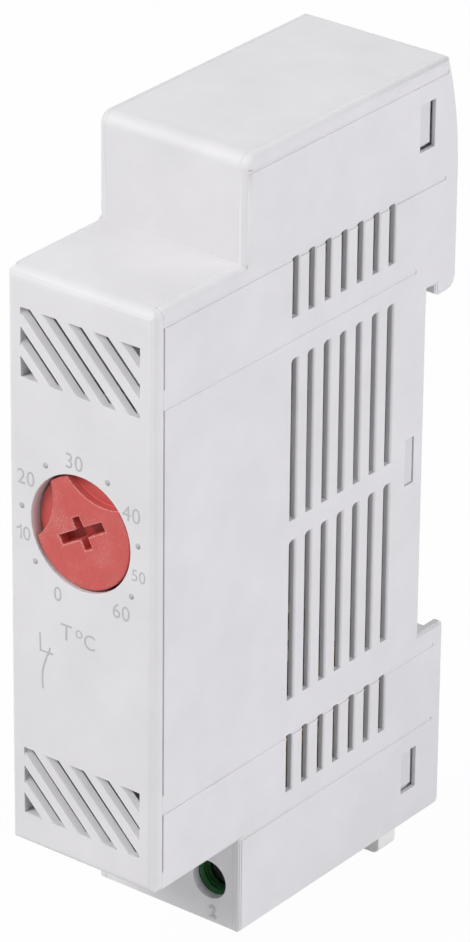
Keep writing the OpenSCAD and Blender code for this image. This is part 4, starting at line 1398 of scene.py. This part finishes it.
@dataclass
class Studio:
    """Pale floor, soft lamps and the camera.

    Attributes:
        place: Camera position in millimetres in the row frame.
        turn_deg: Turns of the camera about the three axes, in degrees.
        focal: Focal length for a film 36 mm high.
        shift: Sideways shift in film heights.
        lamps: Name, place, size, power and colour of each lamp.
        world: Strength of the light from all round.
        paper: The floor's colours in linear light.
        floor_half: Half the side of the floor, in metres.
        floor_gap: How far it lies under the object, in metres.
        floor_grain: Spots of the floor to the metre.
        glow: How much of the floor's look is plain white.
    """

    place: tuple[float, float, float] = (297.47, -402.67, 247.24)
    turn_deg: tuple[float, float, float] = (63.24095, -0.4584, 38.06177)
    focal: float = 217.16
    shift: float = 0.0066
    lamps: tuple[tuple[str, tuple[float, float, float], float, float, Colour], ...] = (
        ("key", (-0.42, -0.78, 0.74), 0.5, 8.8, (1.0, 0.99, 0.99)),
        ("fill", (1.0, 0.12, 0.42), 0.8, 6.8, (0.975, 0.965, 1.0)),
        ("top", (0.1, 0.1, 1.1), 0.8, 0.15, (1.0, 1.0, 0.99)),
        ("rear", (-0.5, 0.9, 0.6), 0.8, 1.5, (1.0, 1.0, 1.0)))
    world: float = 0.34
    paper: tuple[Colour, Colour] = (srgb(214, 214, 215), srgb(220, 220, 221))
    floor_half: float = 1.5
    floor_gap: float = 0.0002
    floor_grain: float = 900.0
    glow: float = 0.97

    def build(self) -> None:
        """Builds the studio."""
        self._camera()
        self._lamps()
        self._world()
        self._floor()
        bpy.context.scene.view_settings.view_transform = "Standard"

    def _camera(self) -> None:
        """Sets the camera as the photograph was taken."""
        data = bpy.data.cameras.new("camera")
        data.sensor_fit = "VERTICAL"
        data.sensor_height = 36.0
        data.lens = self.focal
        data.shift_x = self.shift
        data.clip_start = 0.01
        data.clip_end = 20.0
        camera = placed("camera", data)
        camera.location = Vector(self.place) * MM
        camera.rotation_euler = Euler([math.radians(angle) for angle in self.turn_deg])
        bpy.context.scene.camera = camera

    def _lamps(self) -> None:
        """Hangs soft square lamps round the object."""
        for name, place, size, power, colour in self.lamps:
            data = bpy.data.lights.new(name, "AREA")
            data.size = size
            data.energy = power
            data.color = colour
            lamp = placed(name, data)
            lamp.location = place
            lamp.rotation_euler = (-Vector(place)).to_track_quat("-Z", "Y").to_euler()

    def _world(self) -> None:
        """Lights the scene evenly and shows white to the camera."""
        world = bpy.data.worlds.new("studio")
        bpy.context.scene.world = world
        sheet = NodeSheet(world, "ShaderNodeOutputWorld")
        strength = sheet.node("ShaderNodeMapRange", inputs={
            "Value": sheet.seen("Is Camera Ray", "Is Transmission Ray"),
            "To Min": self.world, "To Max": 1.0})
        sheet.surface(sheet.node("ShaderNodeBackground", inputs={
            "Color": (1.0, 1.0, 1.0), "Strength": strength.outputs[0]}))

    def _floor(self) -> None:
        """Lays a pale floor that keeps the object's shadow."""
        low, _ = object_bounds()
        half = self.floor_half
        work = bmesh.new()
        corners = ((-half, -half), (half, -half), (half, half), (-half, half))
        work.faces.new([work.verts.new((x, y, low.z - self.floor_gap)) for x, y in corners])
        floor = placed("floor", settled(work, "floor"))
        sheet = NodeSheet.material("floor_paper")
        grain = sheet.noise(sheet.places(), self.floor_grain)
        matt = sheet.node("ShaderNodeBsdfDiffuse", inputs={"Color": sheet.mix(grain, *self.paper)})
        white = sheet.node("ShaderNodeEmission", inputs={"Color": (1.0, 1.0, 1.0), "Strength": 1.0})
        share = sheet.seen("Is Camera Ray", "Is Glossy Ray") * self.glow
        sheet.surface(sheet.node("ShaderNodeMixShader", inputs={
            0: share, 1: matt.outputs[0], 2: white.outputs[0]}))
        floor.data.materials.append(sheet.owner)
        floor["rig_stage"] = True


def main() -> None:
    """Builds every sub-assembly and the studio."""
    logging.basicConfig(level=logging.INFO, format="%(message)s")
    shop = Workshop(Palette(), CoilRule())
    for assembly in (Housing, SettingDial, Terminals, RailFixing, Mechanism):
        assembly(shop).build()
    Studio().build()


if __name__ == "__main__":
    main()
